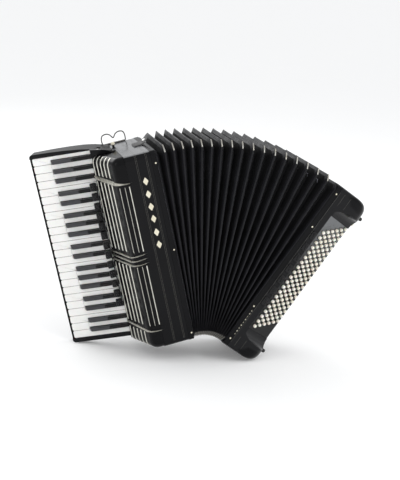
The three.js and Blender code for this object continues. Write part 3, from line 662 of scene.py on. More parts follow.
def on_cover(path, height, proud=0.0):
    """A point of the cover's outside: path runs from the flat front outwards, in millimetres."""
    def at(distance):
        return np.array([np.interp(distance, STEPS, SECTION[:, i]) for i in (0, 1)])

    way = at(path + 1) - at(path - 1)
    normal = np.array([-way[1], way[0]]) / np.linalg.norm(way)
    edge = min(height, CASE_HEIGHT - height)
    inward = 0.0
    if edge < COVER_ROUND:
        inward = COVER_ROUND - math.sqrt(max(COVER_ROUND ** 2 - (COVER_ROUND - edge) ** 2, 0))
    lean = min(1, inward / COVER_ROUND)
    x, y = at(path) + normal * (proud * math.sqrt(1 - lean ** 2) - inward)
    tip = proud * lean * (1 if height > CASE_HEIGHT / 2 else -1)
    return (x, y, height + tip)


def end_heights(count):
    """Heights that follow the rounded ends closely and the straight part in one step."""
    turns = quarter(count)
    low = COVER_ROUND * (1 - np.cos(turns))
    return np.r_[low, CASE_HEIGHT - low[::-1]]


def treble_cover():
    """The shell with its closed ends, and a wall that shuts off its upper corner."""
    heights = end_heights(9)
    outer = [[on_cover(p, h) for p in STEPS] for h in heights]
    inner = [[on_cover(p, h, -3) for p in STEPS] for h in np.clip(heights, 4, CASE_HEIGHT - 4)]
    shape = Shape().loft([list(o) + list(i)[::-1] for o, i in zip(outer, inner)])
    back = COVER["back"] + COVER["edge"]
    for low, high in ((0.2, 3), (CASE_HEIGHT - 3, CASE_HEIGHT - 0.2)):
        shape.loft([[on_cover(p, h, -0.4) for p in STEPS] + [(-COVER["front"], back, h)]
                    for h in (low, high)])
    shape.block((-140, back - 4.5, CASE_HEIGHT - 28), (-100, back - 0.4, CASE_HEIGHT - 0.4), 0.5)
    piece("treble_cover", shape, TREBLE, "treble", [BLACK], ["treble_grille"])


def strip_on_cover(shape, path, low, high, width, proud):
    """A half-round strip that follows the cover from one height to another."""
    heights = [h for h in end_heights(9) if low < h < high]
    heights = sorted({low, high, *heights, *np.linspace(low + 3, high - 3, 8)})
    rings = []
    for i, height in enumerate(heights):
        lift = 0.15 if i in (0, len(heights) - 1) else 1.0
        half = [(-width / 2, -0.6), (-width / 2, 0.4), (-width / 4, 0.9), (width / 4, 0.9),
                (width / 2, 0.4), (width / 2, -0.6)]
        rings.append([on_cover(path + a, height, proud * b * (lift if b > 0 else 1))
                      for a, b in half])
    shape.loft(rings)


def cover_strips():
    """Metal strips between the cross bars, and three along the rounded front edge."""
    slope_end = STEPS[-1] - COVER["edge"]
    slope_start = slope_end - math.hypot(COVER["outer"] - COVER["corner"],
                                         COVER["back"] - COVER["corner_depth"])
    pitch = (slope_end - slope_start - 5) / 4.7
    strips = Shape()
    for low, high, count in [(449, 497, 5), (259, 434, 5), (64, 221, 5), (2, 45, 5)]:
        for k in range(count):
            strip_on_cover(strips, slope_end - 5 - pitch * k, low, high, 4.6, 1.3)
    for low, high in ((259, 426), (64, 221)):
        for path, width in ((1.8, 2.2), (13, 1.4), (26, 1.4)):
            strip_on_cover(strips, path, low, high, width, 1.2)
    piece("cover_strips", strips, TREBLE, "treble", [STRIP])


def cover_bars():
    """Cross bars that run over the slope and the bead and taper out on the flat front."""
    shape = Shape()
    for outer, corner, inner, width in BARS:
        paths = np.linspace(STEPS[-1] - 1, 0, 40)
        corner_path = STEPS[13]
        rings = []
        for i, path in enumerate(paths):
            if path > corner_path:
                share = (path - corner_path) / (STEPS[-1] - corner_path)
                height = corner + (outer - corner) * share
                half = width / 2
            else:
                share = path / corner_path
                height = inner + (corner - inner) * share
                half = 1.1 + (width / 2 - 1.1) * share ** 1.5
            profile = [(-1, -0.8), (-1, 0.5), (-0.55, 1.0), (-0.2, 0.75), (0.2, 0.75), (0.55, 1.0),
                       (1, 0.5), (1, -0.8)]
            rings.append([on_cover(path, height + half * a, 2.4 * b) for a, b in profile])
        shape.loft(rings)
        points = [(-COVER["front"] + 7 * t, -0.25, inner) for t in (-0.1, 0.3, 0.7, 1.0)]
        shape.loft([[(x, 0.6, z - 1.1 * (1.05 - i * 0.3)), (x, y - 1.3 * (1 - i * 0.28), z),
                     (x, 0.6, z + 1.1 * (1.05 - i * 0.3))]
                    for i, (x, y, z) in enumerate(points)])
    piece("cover_bars", shape, TREBLE, "treble", [BAR])


# ---- ornaments -----------------------------------------------------------------------------
def front_line(shape, x, low, high, width, over_top=False):
    """An inlaid line up the front, and over the casing's rounded upper end if it says so."""
    path = [(low, -0.08)]
    if over_top:
        turns = quarter(8)
        path += [(CASE_HEIGHT - 13 + 13 * math.sin(t), 13 - 13 * math.cos(t) - 0.08) for t in turns]
        path.append((CASE_HEIGHT + 0.08, CASE_DEPTH - 16))
        path = [(z + (0.08 if y > 6 else 0), y) for z, y in path]
    else:
        path.append((high, -0.08))
    rings = []
    for i, (z, y) in enumerate(path):
        out = flat_normal(path, i) * 0.3
        left, right = x - width / 2, x + width / 2
        rings.append([(left, y - out[1], z - out[0]), (right, y - out[1], z - out[0]),
                      (right, y, z), (left, y, z)])
    shape.loft(rings)


LOZENGE_HEIGHTS = (429, 396, 364, 333, 298, 266)


def treble_front():
    """Two double pin stripes with a column of plain lozenges between them."""
    lines = Shape()
    for centre in (-25.5, -51.5):
        for offset in (-1.6, 1.6):
            front_line(lines, centre + offset, 12, 0, 0.4, over_top=True)
    piece("treble_pin_stripes", lines, TREBLE, "treble", [STRIPE])
    shape = Shape()
    for height in LOZENGE_HEIGHTS:
        outline = soften([(-45.5, height), (-38.5, height - 10.5), (-31.5, height),
                          (-38.5, height + 10.5)], 2, 4)
        shape.prism(outline, 1, rounded_levels(-0.7, 0.5, 0.4, 0))
    piece("front_lozenges", shape, TREBLE, "treble", [IVORY])


# ---- keyboard ------------------------------------------------------------------------------
KEY_TOP, KEY_BACK = 119, 133
WHITE_KEYS = [f"white_key_{k:02d}" for k in range(1, 25)]
BLACK_GROUPS = [f"black_keys_{k}" for k in range(1, 8)]
BLACK_NOTES = [[1, 2, 3], [5, 6], [8, 9, 10], [12, 13], [15, 16, 17], [19, 20], [22, 23]]
KEY_PITCH = 20.33
KEYS_TOP = 511
BLACK_HALF = 5.5
BLACK_SHIFT = {2: (2.6, -2.6), 3: (4.5, 0, -4.5)}  # of a group's keys from their own boundaries
KEY_GAP = 0.45  # half the gap between two white keys
INNER, HEAD = -118, -244  # a white key's narrow part runs between these
SOUND = (24, 474)  # heights that the pallets are spread over


def pallet_height(z):
    low = KEYS_TOP - KEY_PITCH * len(WHITE_KEYS)
    return SOUND[0] + (z - low) * (SOUND[1] - SOUND[0]) / (KEYS_TOP - low)


def black_height(note):
    """Middle of the black key above the white key of that number."""
    group = next(g for g in BLACK_NOTES if note in g)
    shifts = BLACK_SHIFT[3] if group[0] == 22 else BLACK_SHIFT[len(group)]
    return KEYS_TOP - KEY_PITCH * note + shifts[group.index(note)]


def lever(shape, start, note, look):
    """The bent lever behind a key, with its pallet and the felt that meets the soundboard."""
    z = pallet_height(note)
    drop = z - start
    made = Shape().tube(curve([(-118.6, 114.5, start), (-95, 114.5, start + drop * 0.45),
                               (-87, 114, start + drop * 0.6), (-78, 107, start + drop * 0.8),
                               (-68.5, 99, z)], 4), 1.3, 8)
    made.block((-70.4, 58, z - 4.3), (-66.6, 112, z + 4.3), 0.7, 0, 1)
    made.block((-66.5, 59, z - 4), (-64.6, 111, z + 4), 0.4, 0, 2)
    shape.merge(moved(made, TREBLE, KEYBOARD), look)


def white_key(number, name):
    low = KEYS_TOP - KEY_PITCH * number + KEY_GAP
    high = KEYS_TOP - KEY_PITCH * (number - 1) - KEY_GAP
    end = span(name, KEYBOARD)[0][0]
    blacks = [k for group in BLACK_NOTES for k in group]
    stem_low, stem_high = low, high
    if number in blacks:
        stem_low = max(low, black_height(number) + BLACK_HALF + 0.6)
    if number - 1 in blacks:
        stem_high = min(high, black_height(number - 1) - BLACK_HALF - 0.6)
    corners = [(end, low), (HEAD, low), (HEAD, stem_low), (INNER, stem_low), (INNER, stem_high),
               (HEAD, stem_high), (HEAD, high), (end, high)]
    radii = [4.2, 0.4, 0.4, 0, 0, 0.4, 0.4, 4.2]
    kept = [i for i in range(8) if i in (0, 3, 4, 7) or
            (i in (1, 2) and stem_low > low + 1) or (i in (5, 6) and stem_high < high - 1)]
    outline = soften([corners[i] for i in kept], [radii[i] for i in kept], 5)
    shape = Shape()
    shape.prism(outline, 1, rounded_levels(KEY_TOP, KEY_TOP + 2.6, 1.1, 0.2))
    shape.prism(inset(outline, 0.35), 1,
                [(KEY_TOP + 2.6, 0), (KEY_BACK - 0.8, 0), (KEY_BACK, 0.6)], 1)
    start = min(max((low + high) / 2, stem_low + 2.6), stem_high - 2.6)
    lever(shape, start, KEYS_TOP - KEY_PITCH * (number - 0.5), 2)
    piece(name + "_cap", shape, KEYBOARD, name, [WHITE_KEY, MAPLE, ALLOY, SPRUCE, FELT],
          [name])


def black_key(shape, z):
    """One black key: a sloped tip, a crowned top and narrowing sides."""
    stations = [(-243, 0.0), (-242.4, 0.25), (-240.6, 0.62), (-238.2, 0.9), (-235.5, 1.0),
                (-229, 1.03), (-210, 1.04), (-190, 1.02), (-160, 0.9), (-144, 0.78), (-139, 0.65),
                (INNER, -0.05)]
    rings = []
    for x, rise in stations:
        top = KEY_TOP - 0.5 - 10.5 * rise
        wide, narrow = BLACK_HALF - 0.05, 4.3 + 0.6 * (1 - rise)
        half = [(wide, KEY_BACK), (wide, KEY_TOP + 2),
                (wide - 0.3, KEY_TOP + 0.5 * (top - KEY_TOP)), (narrow, top + 1.6),
                (narrow - 0.5, top + 0.55), (narrow - 1.4, top + 0.08),
                (narrow * 0.35, top - 0.12)]
        rings.append([(x, y, z + w) for w, y in half] + [(x, y, z - w) for w, y in half[::-1]])
    shape.loft(rings)


def black_keys(notes, name):
    shape = Shape()
    for note in notes:
        z = black_height(note)
        black_key(shape, z)
        shape.block((-121, 128, z - 3), (-115, 134.8, z + 3), 0.5, 1, 1)
        lever(shape, z, KEYS_TOP - KEY_PITCH * note, 1)
    low, high = black_height(notes[-1]), black_height(notes[0])
    shape.block((-116, 131.2, low - 3), (-112, 134.8, high + 3), 0.6, 2, 1)
    piece(name + "_caps", shape, KEYBOARD, name, [BLACK_KEY, ALLOY, SPRUCE, FELT],
          [name])


def keyboard():
    piece("keyboard_bed_shell", from_cad("keyboard_bed", TREBLE, 1.2), TREBLE, "treble", [BLACK],
          ["keyboard_bed"])
    for number, name in enumerate(WHITE_KEYS, 1):
        white_key(number, name)
    for notes, name in zip(BLACK_NOTES, BLACK_GROUPS):
        black_keys(notes, name)
    low, high = span("key_axle", KEYBOARD)
    centre = (low + high) / 2
    shape = Shape().lathe([(1.2, 0), (1.5, 0.4), (1.5, high[2] - low[2] - 0.4),
                           (1.2, high[2] - low[2])], (centre[0], centre[1], low[2]), (0, 0, 1))
    piece("key_axle_rod", shape, KEYBOARD, "treble", [STEEL], ["key_axle"])


# ---- treble fittings -----------------------------------------------------------------------
TREBLE_SWITCH_HEIGHTS = [112 + 25.8 * i for i in range(13)]


def treble_switches():
    """Thirteen rocker paddles on a rail, each with a satin black stud."""
    shape = Shape()
    shape.block((-147, 103.2, 104), (-144, 107, 430), 0.8, 2)
    for z in TREBLE_SWITCH_HEIGHTS:
        outline = rectangle((-161, z - 9.6), (-146, z + 9.6), 3.4, 5)
        levels = [(101.2, 5.2), (101.4, 3.4), (102, 1.4), (102.8, 0.4), (103.8, 0), (108.2, 0),
                  (109, 0.8)]
        shape.prism(outline, 1, levels)
        dome(shape, (-153.5, 101.6, z), 4.0, 1.0, 1)
    piece("treble_switch_paddles", shape, TREBLE, "treble_switches", [EBONITE, SATIN],
          ["treble_switches"])


BRACKET_MIDDLE, BRACKET_SCREWS = -66, (-66, -37, -95)


def strap_bracket():
    """One wire bent into two wide loops, on a screwed plate."""
    low, high = span("strap_bracket", TREBLE)
    depth, foot = (low[1] + high[1]) / 2, low[2]
    shape = Shape()
    shape.block((low[0] + 3, depth - 4, foot), (high[0] - 3, depth + 4, foot + 3), 1.0, 2)
    outer = [(30, 1.5), (30.5, 15), (27, 24.5), (17, 27.3), (8, 24), (3, 17.5)]
    path = ([(BRACKET_MIDDLE - x, depth, foot + z) for x, z in outer]
            + [(BRACKET_MIDDLE, depth, foot + 14.5)]
            + [(BRACKET_MIDDLE + x, depth, foot + z) for x, z in outer[::-1]])
    shape.tube(curve(path, 5), 1.5, 10)
    for x in BRACKET_SCREWS:
        shape.lathe([(2.6, 0), (2.6, 0.6), (1.9, 1.3), (0.4, 1.6)], (x, depth, foot + 3),
                    (0, 0, 1), 14, 1)
    piece("strap_bracket_wire", shape, TREBLE, "treble", [WIRE, STEEL],
          ["strap_bracket"])


def stitches(shape, path, up, look, length=3.0, gap=1.8, radius=0.35):
    """A row of short stitches along a path, bulging out of the surface."""
    path = np.array(path, float)
    steps = np.r_[0, np.cumsum(np.linalg.norm(np.diff(path, axis=0), axis=1))]
    start = gap
    while start + length < steps[-1]:
        ends = [np.array([np.interp(start + length * t, steps, path[:, i]) for i in range(3)])
                for t in (0, 0.25, 0.5, 0.75, 1)]
        lifts = (-0.3, 0.35, 0.5, 0.35, -0.3)
        shape.tube([e + np.array(up) * k for e, k in zip(ends, lifts)], radius, 6, look)
        start += length + gap


def bellows_tab():
    """The leather tab that holds the bellows shut, its free end lifting."""
    low, high = span("bellows_strap", TREBLE)
    middle, half = (low[1] + high[1]) / 2, (high[1] - low[1]) / 2
    foot = low[2]
    route = curve([(low[0], 0.2), (low[0] + 10, 0.2), (high[0] - 12, 1.6), (high[0] - 2, 7),
                   (high[0] + 9, 19)], 6)
    shape = Shape()
    rings = []
    for i, (x, z) in enumerate(route):
        share = i / (len(route) - 1)
        wide = half * (1 - 0.12 * share) * (1 if share < 0.8 else math.sqrt(
            max(1 - ((share - 0.8) / 0.2) ** 2 * 0.85, 0.05)))
        thick = 2.4
        rings.append([(x, middle + wide * a, foot + z + thick * b) for a, b in
                      ((-1, 0.15), (-0.96, 0.0), (0.96, 0.0), (1, 0.15), (1, 0.8), (0.93, 1.02),
                       (0.5, 1.16), (0, 1.2), (-0.5, 1.16), (-0.93, 1.02), (-1, 0.8))])
    shape.loft(rings)
    for side in (-1, 1):
        stitches(shape, [(x, middle + side * (half - 5), foot + z + 2.6) for x, z in route[:-3]],
                 (0, 0, 1), 1)
    x, z = route[-8]
    shape.lathe([(5, -0.5), (5, 0.8), (4.2, 1.7), (2.6, 2.0), (1.4, 1.6), (0.5, 1.5)],
                (x, middle, foot + z + 2.6), (-0.35, 0, 1), 20, 2)
    tab = piece("bellows_tab", shape, TREBLE, "treble", [TAB_HIDE, THREAD, CHROME],
                ["bellows_strap"], sharp=50)


def top_stud():
    low, high = span("top_stud", TREBLE)
    x, y = (low[0] + high[0]) / 2, (low[1] + high[1]) / 2
    tall = high[2] - low[2]
    shape = Shape().lathe([(4.8, 0), (4.8, 1.5), (3.2, 2.4), (2.9, tall - 8), (4.2, tall - 7)],
                          (x, y, low[2]), (0, 0, 1), 20, 0)
    shape.lathe([(4.2, tall - 7), (4.9, tall - 5.5), (4.9, tall - 2.4), (3.6, tall - 0.5),
                 (0.4, tall)], (x, y, low[2]), (0, 0, 1), 20, 1)
    piece("top_stud_knob", shape, TREBLE, "treble", [EBONITE, IVORY], ["top_stud"])


# ---- bellows -------------------------------------------------------------------------------
FAN_RADIUS, FOLDS = 89.3, 18
FAN_ANGLE = BASS_LEAN - TREBLE_LEAN
FOLD_DEPTH, BELLOWS_LIFT, BELLOWS_SHIFT, FOLD_PROUD = 22, 2, -2.7, 6
FAN_CENTRE = TREBLE @ Vector((0, 0, -FAN_RADIUS * MM))


def fan_point(turn, shift, y, w):
    """A point at a share of the fan, moved across it by some millimetres, in the row frame."""
    bulge = math.sin(math.pi * min(max(turn, 0), 1))
    radius = FAN_RADIUS + BELLOWS_LIFT * bulge + w
    angle = math.radians(TREBLE_LEAN + FAN_ANGLE * turn + BELLOWS_SHIFT * bulge) + shift / radius
    front = TREBLE.translation.y
    return (FAN_CENTRE.x + radius * math.sin(angle) * MM, front + y * MM,
            FAN_CENTRE.z + radius * math.cos(angle) * MM)


def fold_outline(away, cut, proud):
    """Points round a fold: straight sides in steps, cut corners, from the front's lower end."""
    far, low, high = CASE_DEPTH - away, away, CASE_HEIGHT - away + proud
    corners = [(away, low + cut), (away, high - cut), (away + cut, high), (far - cut, high),
               (far, high - cut), (far, low + cut), (far - cut, low), (away + cut, low)]
    counts = [14, 2, 6, 2, 14, 2, 6, 2]
    points = []
    for i, steps in enumerate(counts):
        a, b = np.array(corners[i]), np.array(corners[(i + 1) % 8])
        points += [a + (b - a) * t for t in np.arange(steps) / steps]
    return points


def fold_ring(k, side, share):
    """A ring round the tube. Fold k's ridge is at share 0, and the next valley at share 1."""
    at_end = k in (0, FOLDS)
    proud = (0 if at_end else FOLD_PROUD) * (1 - share)
    away = 1.0 + (FOLD_DEPTH - 0.5) * share
    cut = 14 - 7 * share
    ring = []
    for y, w in fold_outline(away, cut, proud):
        half_pitch = math.radians(FAN_ANGLE / FOLDS / 2) * (FAN_RADIUS + w)
        crown = min(2.2, 0.32 * half_pitch)  # half width of the taped ridge
        reach = {0: 0, 0.02: crown * 0.55, 0.05: crown * 0.95, 0.09: crown * 1.1}.get(share)
        if reach is None:
            reach = crown * 1.1 + (half_pitch - crown * 1.1) * ((share - 0.09) / 0.91) ** 0.9
        ring.append(fan_point(k / FOLDS, side * reach, y, w))
    return ring


def bellows():
    """One pleated tube: taped ridges, dark card between them, and a pale lining inside."""
    shares = [0.02, 0.05, 0.09, 0.3, 0.31, 0.65, 0.94]
    rings, tape = [], []
    for k in range(FOLDS + 1):
        if k > 0:
            for share in shares[::-1]:
                rings.append(fold_ring(k, -1, share))
                tape.append(share < 0.305)
        rings.append(fold_ring(k, 1, 0))
        tape.append(True)
        if k < FOLDS:
            for share in shares:
                rings.append(fold_ring(k, 1, share))
                tape.append(share < 0.305)
            rings.append(fold_ring(k, 1, 1))
            tape.append(False)
    size, count = len(rings[0]), len(rings)
    inside = []
    for k in range(2 * FOLDS + 1):
        away = 3.5 if k % 2 == 0 else 0.5 + FOLD_DEPTH + 3
        cut = 13 if k % 2 == 0 else 6
        proud = 0 if k in (0, 2 * FOLDS) or k % 2 else FOLD_PROUD
        inside.append([fan_point(k / 2 / FOLDS, 0, y, w)
                       for y, w in fold_outline(away, cut, proud)])
    rings += inside[::-1]
    faces, looks = [], []
    for i in range(len(rings)):
        a, b = i * size, (i + 1) % len(rings) * size
        faces += band(a, b, size)
        outer = i < count - 1
        looks += [(0 if tape[i] and tape[i + 1] else 1) if outer else 2] * size
    mesh = new_mesh("bellows_folds", [p for ring in rings for p in ring], faces, looks)
    finish_fan("bellows_folds", mesh, [TAPE, CARD, LINING], ["bellows"])


def finish_fan(name, mesh, looks, replaces=()):
    """A piece of the bellows: it follows both sides, each point by its place in the fan."""
    for look in looks:
        mesh.materials.append(look)
    mesh.polygons.foreach_set("use_smooth", [True] * len(mesh.polygons))
    mesh.set_sharp_from_angle(angle=math.radians(40))
    obj = new_object(name, mesh)
    ends = [fan_point(turn, 0, CASE_DEPTH / 2, CASE_HEIGHT / 2) for turn in (0, 1)]
    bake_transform(obj, "treble", "bass", start=ends[0], end=ends[1])
    shares = []
    for v in mesh.vertices:
        angle = math.degrees(math.atan2(v.co.x - FAN_CENTRE.x, v.co.z - FAN_CENTRE.z))
        shares.append(min(max(fan_share(angle), 0), 1))
    mesh.attributes["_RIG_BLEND"].data.foreach_set("value", np.array(shares, np.float32))
    if replaces:
        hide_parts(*replaces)
    return obj


def fan_share(angle):
    """The share of the fan at an angle from upright."""
    turn = (angle - TREBLE_LEAN) / FAN_ANGLE
    for _ in range(4):
        bulge = math.sin(math.pi * min(max(turn, 0), 1))
        turn = (angle - TREBLE_LEAN - BELLOWS_SHIFT * bulge) / FAN_ANGLE
    return turn


def bellows_corners():
    """A bent metal corner over each ridge at the four corners of the fan."""
    shape = Shape()
    for k in range(1, FOLDS):
        for top in (False, True):
            for back in (False, True):
                add_corner(shape, k, top, back)
    mesh = new_mesh("bellows_corners", shape.points, shape.faces, shape.looks)
    finish_fan("bellows_corners", mesh, [CORNER])


def add_corner(shape, k, top, back):
    leg, cut, proud = 2, 14, FOLD_PROUD if top else 0
    edge = CASE_HEIGHT - 0.5 + proud if top else 0.5
    inward = -1 if top else 1
    route = [(0.5, edge + inward * (cut + leg)), (0.5, edge + inward * (cut + leg * 0.5)),
             (0.5, edge + inward * (cut + 1)), (0.9, edge + inward * (cut - 0.6)),
             (cut - 0.6, edge + inward * 0.9), (cut + 1, edge), (cut + leg * 0.5, edge),
             (cut + leg, edge)]
    out = [(-1, 0)] * 3 + [(-0.7, -0.7 * inward)] * 2 + [(0, -inward)] * 3
    rings = []
    for (y, w), (oy, ow) in zip(route, out):
        half_pitch = math.radians(FAN_ANGLE / FOLDS / 2) * (FAN_RADIUS + w)
        wide = min(1.3, 0.25 * half_pitch)
        profile = [(-1.12, -2.6), (-1.12, -0.2), (-0.9, 0), (0, 0), (0.9, 0), (1.12, -0.2),
                   (1.12, -2.6), (0, -0.6)]
        ring = []
        for across, lift in profile:
            depth = y + oy * lift
            if back:
                depth = CASE_DEPTH - depth
            ring.append(fan_point(k / FOLDS, wide * across, depth, w + ow * lift))
        rings.append(ring)
    shape.loft(rings)


# ---- bass side -----------------------------------------------------------------------------
BASS_WIDTH, BASS_ROUND, FRONT_ROUND = 116, 31, 9
FRONT_CURVE, FRONT_WIDTH = 46, 64  # depth of the curved front, and how far out it starts
BACK_CURVE, BACK_LOSS = 24, 20  # depth of the curved back, and how much narrower it ends
RECESS, SCOOP = (69, 423), 28
BASS_SWITCH_HEIGHTS = [150 + 34.2 * i for i in range(7)]
AIR_BUTTON, STRAP_WHEEL = (60, 440), (112, 458)  # depth and height on the end face


def bass_far(y):
    """How far out the casing's outside is at a depth."""
    if y < FRONT_CURVE:
        low, high = 0.0, 1.0
        for _ in range(30):
            t = (low + high) / 2
            low, high = (t, high) if FRONT_CURVE * t * t < y else (low, t)
        return (1 - t) ** 2 * FRONT_WIDTH + 2 * t * (1 - t) * BASS_WIDTH + t * t * BASS_WIDTH
    back = CASE_DEPTH - y
    if back < BACK_CURVE:
        t = 1 - math.sqrt(back / BACK_CURVE)
        return BASS_WIDTH - BACK_LOSS * t * t
    return BASS_WIDTH


def bass_ring(y):
    """Outline of the casing at a depth, rounded where it meets the front and the back."""
    edge = min(y, CASE_DEPTH - y)
    reach = FRONT_ROUND if y < CASE_DEPTH / 2 else 8
    pull = 0.0
    if edge < reach:
        pull = reach - math.sqrt(max(reach ** 2 - (reach - edge) ** 2, 0))
    far = bass_far(min(max(y, 0.0), CASE_DEPTH))
    near = FRAME_THICK + 0.3
    corner = BASS_ROUND * min(1, (far - near) / 80)
    top = CASE_HEIGHT - pull
    outline = soften([(near, pull), (far, pull), (far, top), (near, top)],
                     [0, corner, corner, 0], 12)
    return np.insert(outline, 1, y, axis=1)


def bass_depths():
    turns = quarter(8)
    front = FRONT_ROUND * (1 - np.cos(turns))
    back = CASE_DEPTH - BACK_CURVE * (1 - np.cos(turns[::-1]))
    return np.unique(np.r_[front, np.linspace(FRONT_ROUND, FRONT_CURVE, 9), back])


def bass_casing():
    """A solid casing with three rooms, the sunk board's trench, and holes for what moves."""
    hull = mesh_of(Shape().loft([bass_ring(y) for y in bass_depths()]))
    by_bellows = Shape().block((4, 11.7, 8), (35, CASE_DEPTH - 6, CASE_HEIGHT - 8), 0.5)
    behind = Shape().block((30, 75, 34), (BASS_WIDTH - 6, CASE_DEPTH - 26, CASE_HEIGHT - 34), 0.5)
    under_board = moved(Shape().block((4, 3, RECESS[0] + 4), (91, 21, RECESS[1] - 0.4), 0.3),
                        BOARD, BASS)
    trench = moved(Shape().block((-0.3, -70, RECESS[0]), (130, 3.3, RECESS[1]), 0.01, 1, 1, 1),
                   BOARD, BASS)
    scoops = [moved(Shape().lathe([(SCOOP, 1.5), (SCOOP, 130)], (0, -SCOOP, z), (1, 0, 0), 72, 2),
                    BOARD, BASS) for z in RECESS]
    slots, holes = Shape(), Shape()
    for z in BASS_SWITCH_HEIGHTS:
        slots.block((18.1, -2, z - 11.4), (29.9, 9, z + 11.4), 0.6, 1)
    holes.lathe([(6.4, 0), (6.4, 50)], (BASS_WIDTH - 28, *AIR_BUTTON), (1, 0, 0), 32)
    holes.lathe([(3.4, 0), (3.4, 40)], (BASS_WIDTH - 20, *STRAP_WHEEL), (1, 0, 0), 24)
    slots.block((19.5, 8.8, 137), (28.5, 15, 368), 0.3, 1)
    mesh = carve(hull, by_bellows, behind, under_board, trench, *scoops, slots, holes)
    piece("bass_body", mesh, BASS, "bass", [BLACK, BLACK, SATIN], ["bass_casing"],
          sharp=28, bevel=0.7)


def bass_front():
    """Pin stripes, and a row of plain dots between the two lower pins."""
    lines = Shape()
    for x in (30, 50):
        for low, high in ((12, 40), (452, 486)):
            front_line(lines, x, low, high, 0.4)
    front_line(lines, 16.2, 14, 484, 0.4)
    piece("bass_pin_stripes", lines, BASS, "bass", [STRIPE])
    dots = Shape()
    for i in range(9):
        dome(dots, (12, 0, 38 + 9 * i), 1.5 if i % 2 else 1.1, 0.5, 0, 10)
    piece("bass_front_dots", dots, BASS, "bass", [IVORY])


ROWS, COLUMNS, BUTTON_PITCH, ROW_SHIFT, ROW_LOW = 6, 20, 15.5, 8.3, 82
ROW_START, ROW_PITCH, BUTTON_RADIUS = 16, 13.8, 4.4


def button_places(row):
    x = ROW_START + ROW_PITCH * row
    return [(x, ROW_LOW + ROW_SHIFT * row + BUTTON_PITCH * i) for i in range(COLUMNS)]


def button_board():
    low, high = span("button_board", BOARD)
    plate = mesh_of(Shape().block(low, high, 0.5))
    holes = Shape()
    for row in range(ROWS):
        for x, z in button_places(row):
            holes.lathe([(4.75, -3), (4.75, 8)], (x, 0, z), (0, 1, 0), 20)
    piece("button_board_panel", carve(plate, holes), BOARD, "bass", [PANEL],
          ["button_board"], sharp=30)
    collars = Shape()
    for row in range(ROWS):
        for x, z in button_places(row):
            ring = [(4.8, 0.6), (4.8, -0.5), (5.1, -0.8), (5.5, -0.7), (5.7, -0.2), (5.7, 0.6)]
            collars.loft([[(x + r * math.cos(t), y, z + r * math.sin(t)) for r, y in ring]
                          for t in full_turn(20)], looped=True)
    piece("button_collars", collars, BOARD, "bass", [EBONITE])


def button_rows():
    turns = quarter(6)
    profile = [(2.2, 9), (2.2, 1.5), (3.6, 0.8), (4.35, 0.2), (BUTTON_RADIUS, -3.6)]
    profile += [(BUTTON_RADIUS - 1.4 * (1 - math.cos(t)), -3.6 - 2.4 * math.sin(t))
                for t in turns[1:4]]
    profile += [(2.6, -6.5), (1.4, -6.75), (0.3, -6.8)]
    for row in range(ROWS):
        shape = Shape()
        places = button_places(row)
        for x, z in places:
            shape.lathe(profile, (x, 0, z), (0, 1, 0), 18)
        x = places[0][0]
        shape.block((x - 3.5, 8, places[0][1] - 4), (x + 3.5, 12, places[-1][1] + 4), 0.6, 1, 1)
        name = f"bass_button_row_{row + 1}"
        piece(name + "_caps", shape, BOARD, name, [BUTTON, ALLOY], [name])


def bass_switches():
    shape = Shape()
    shape.block((20.5, 9, 139), (27.5, 12, 366), 0.6, 1, 1)
    for z in BASS_SWITCH_HEIGHTS:
        outline = rectangle((18.5, z - 11), (29.5, z + 11), 2.2, 4)
        shape.prism(outline, 1, [(-3.6, 3), (-3.9, 1.6), (-3.5, 0.6), (-2.6, 0), (10, 0)])
    piece("bass_switch_paddles", shape, BASS, "bass_switches", [EBONITE, ALLOY],
          ["bass_switches"])


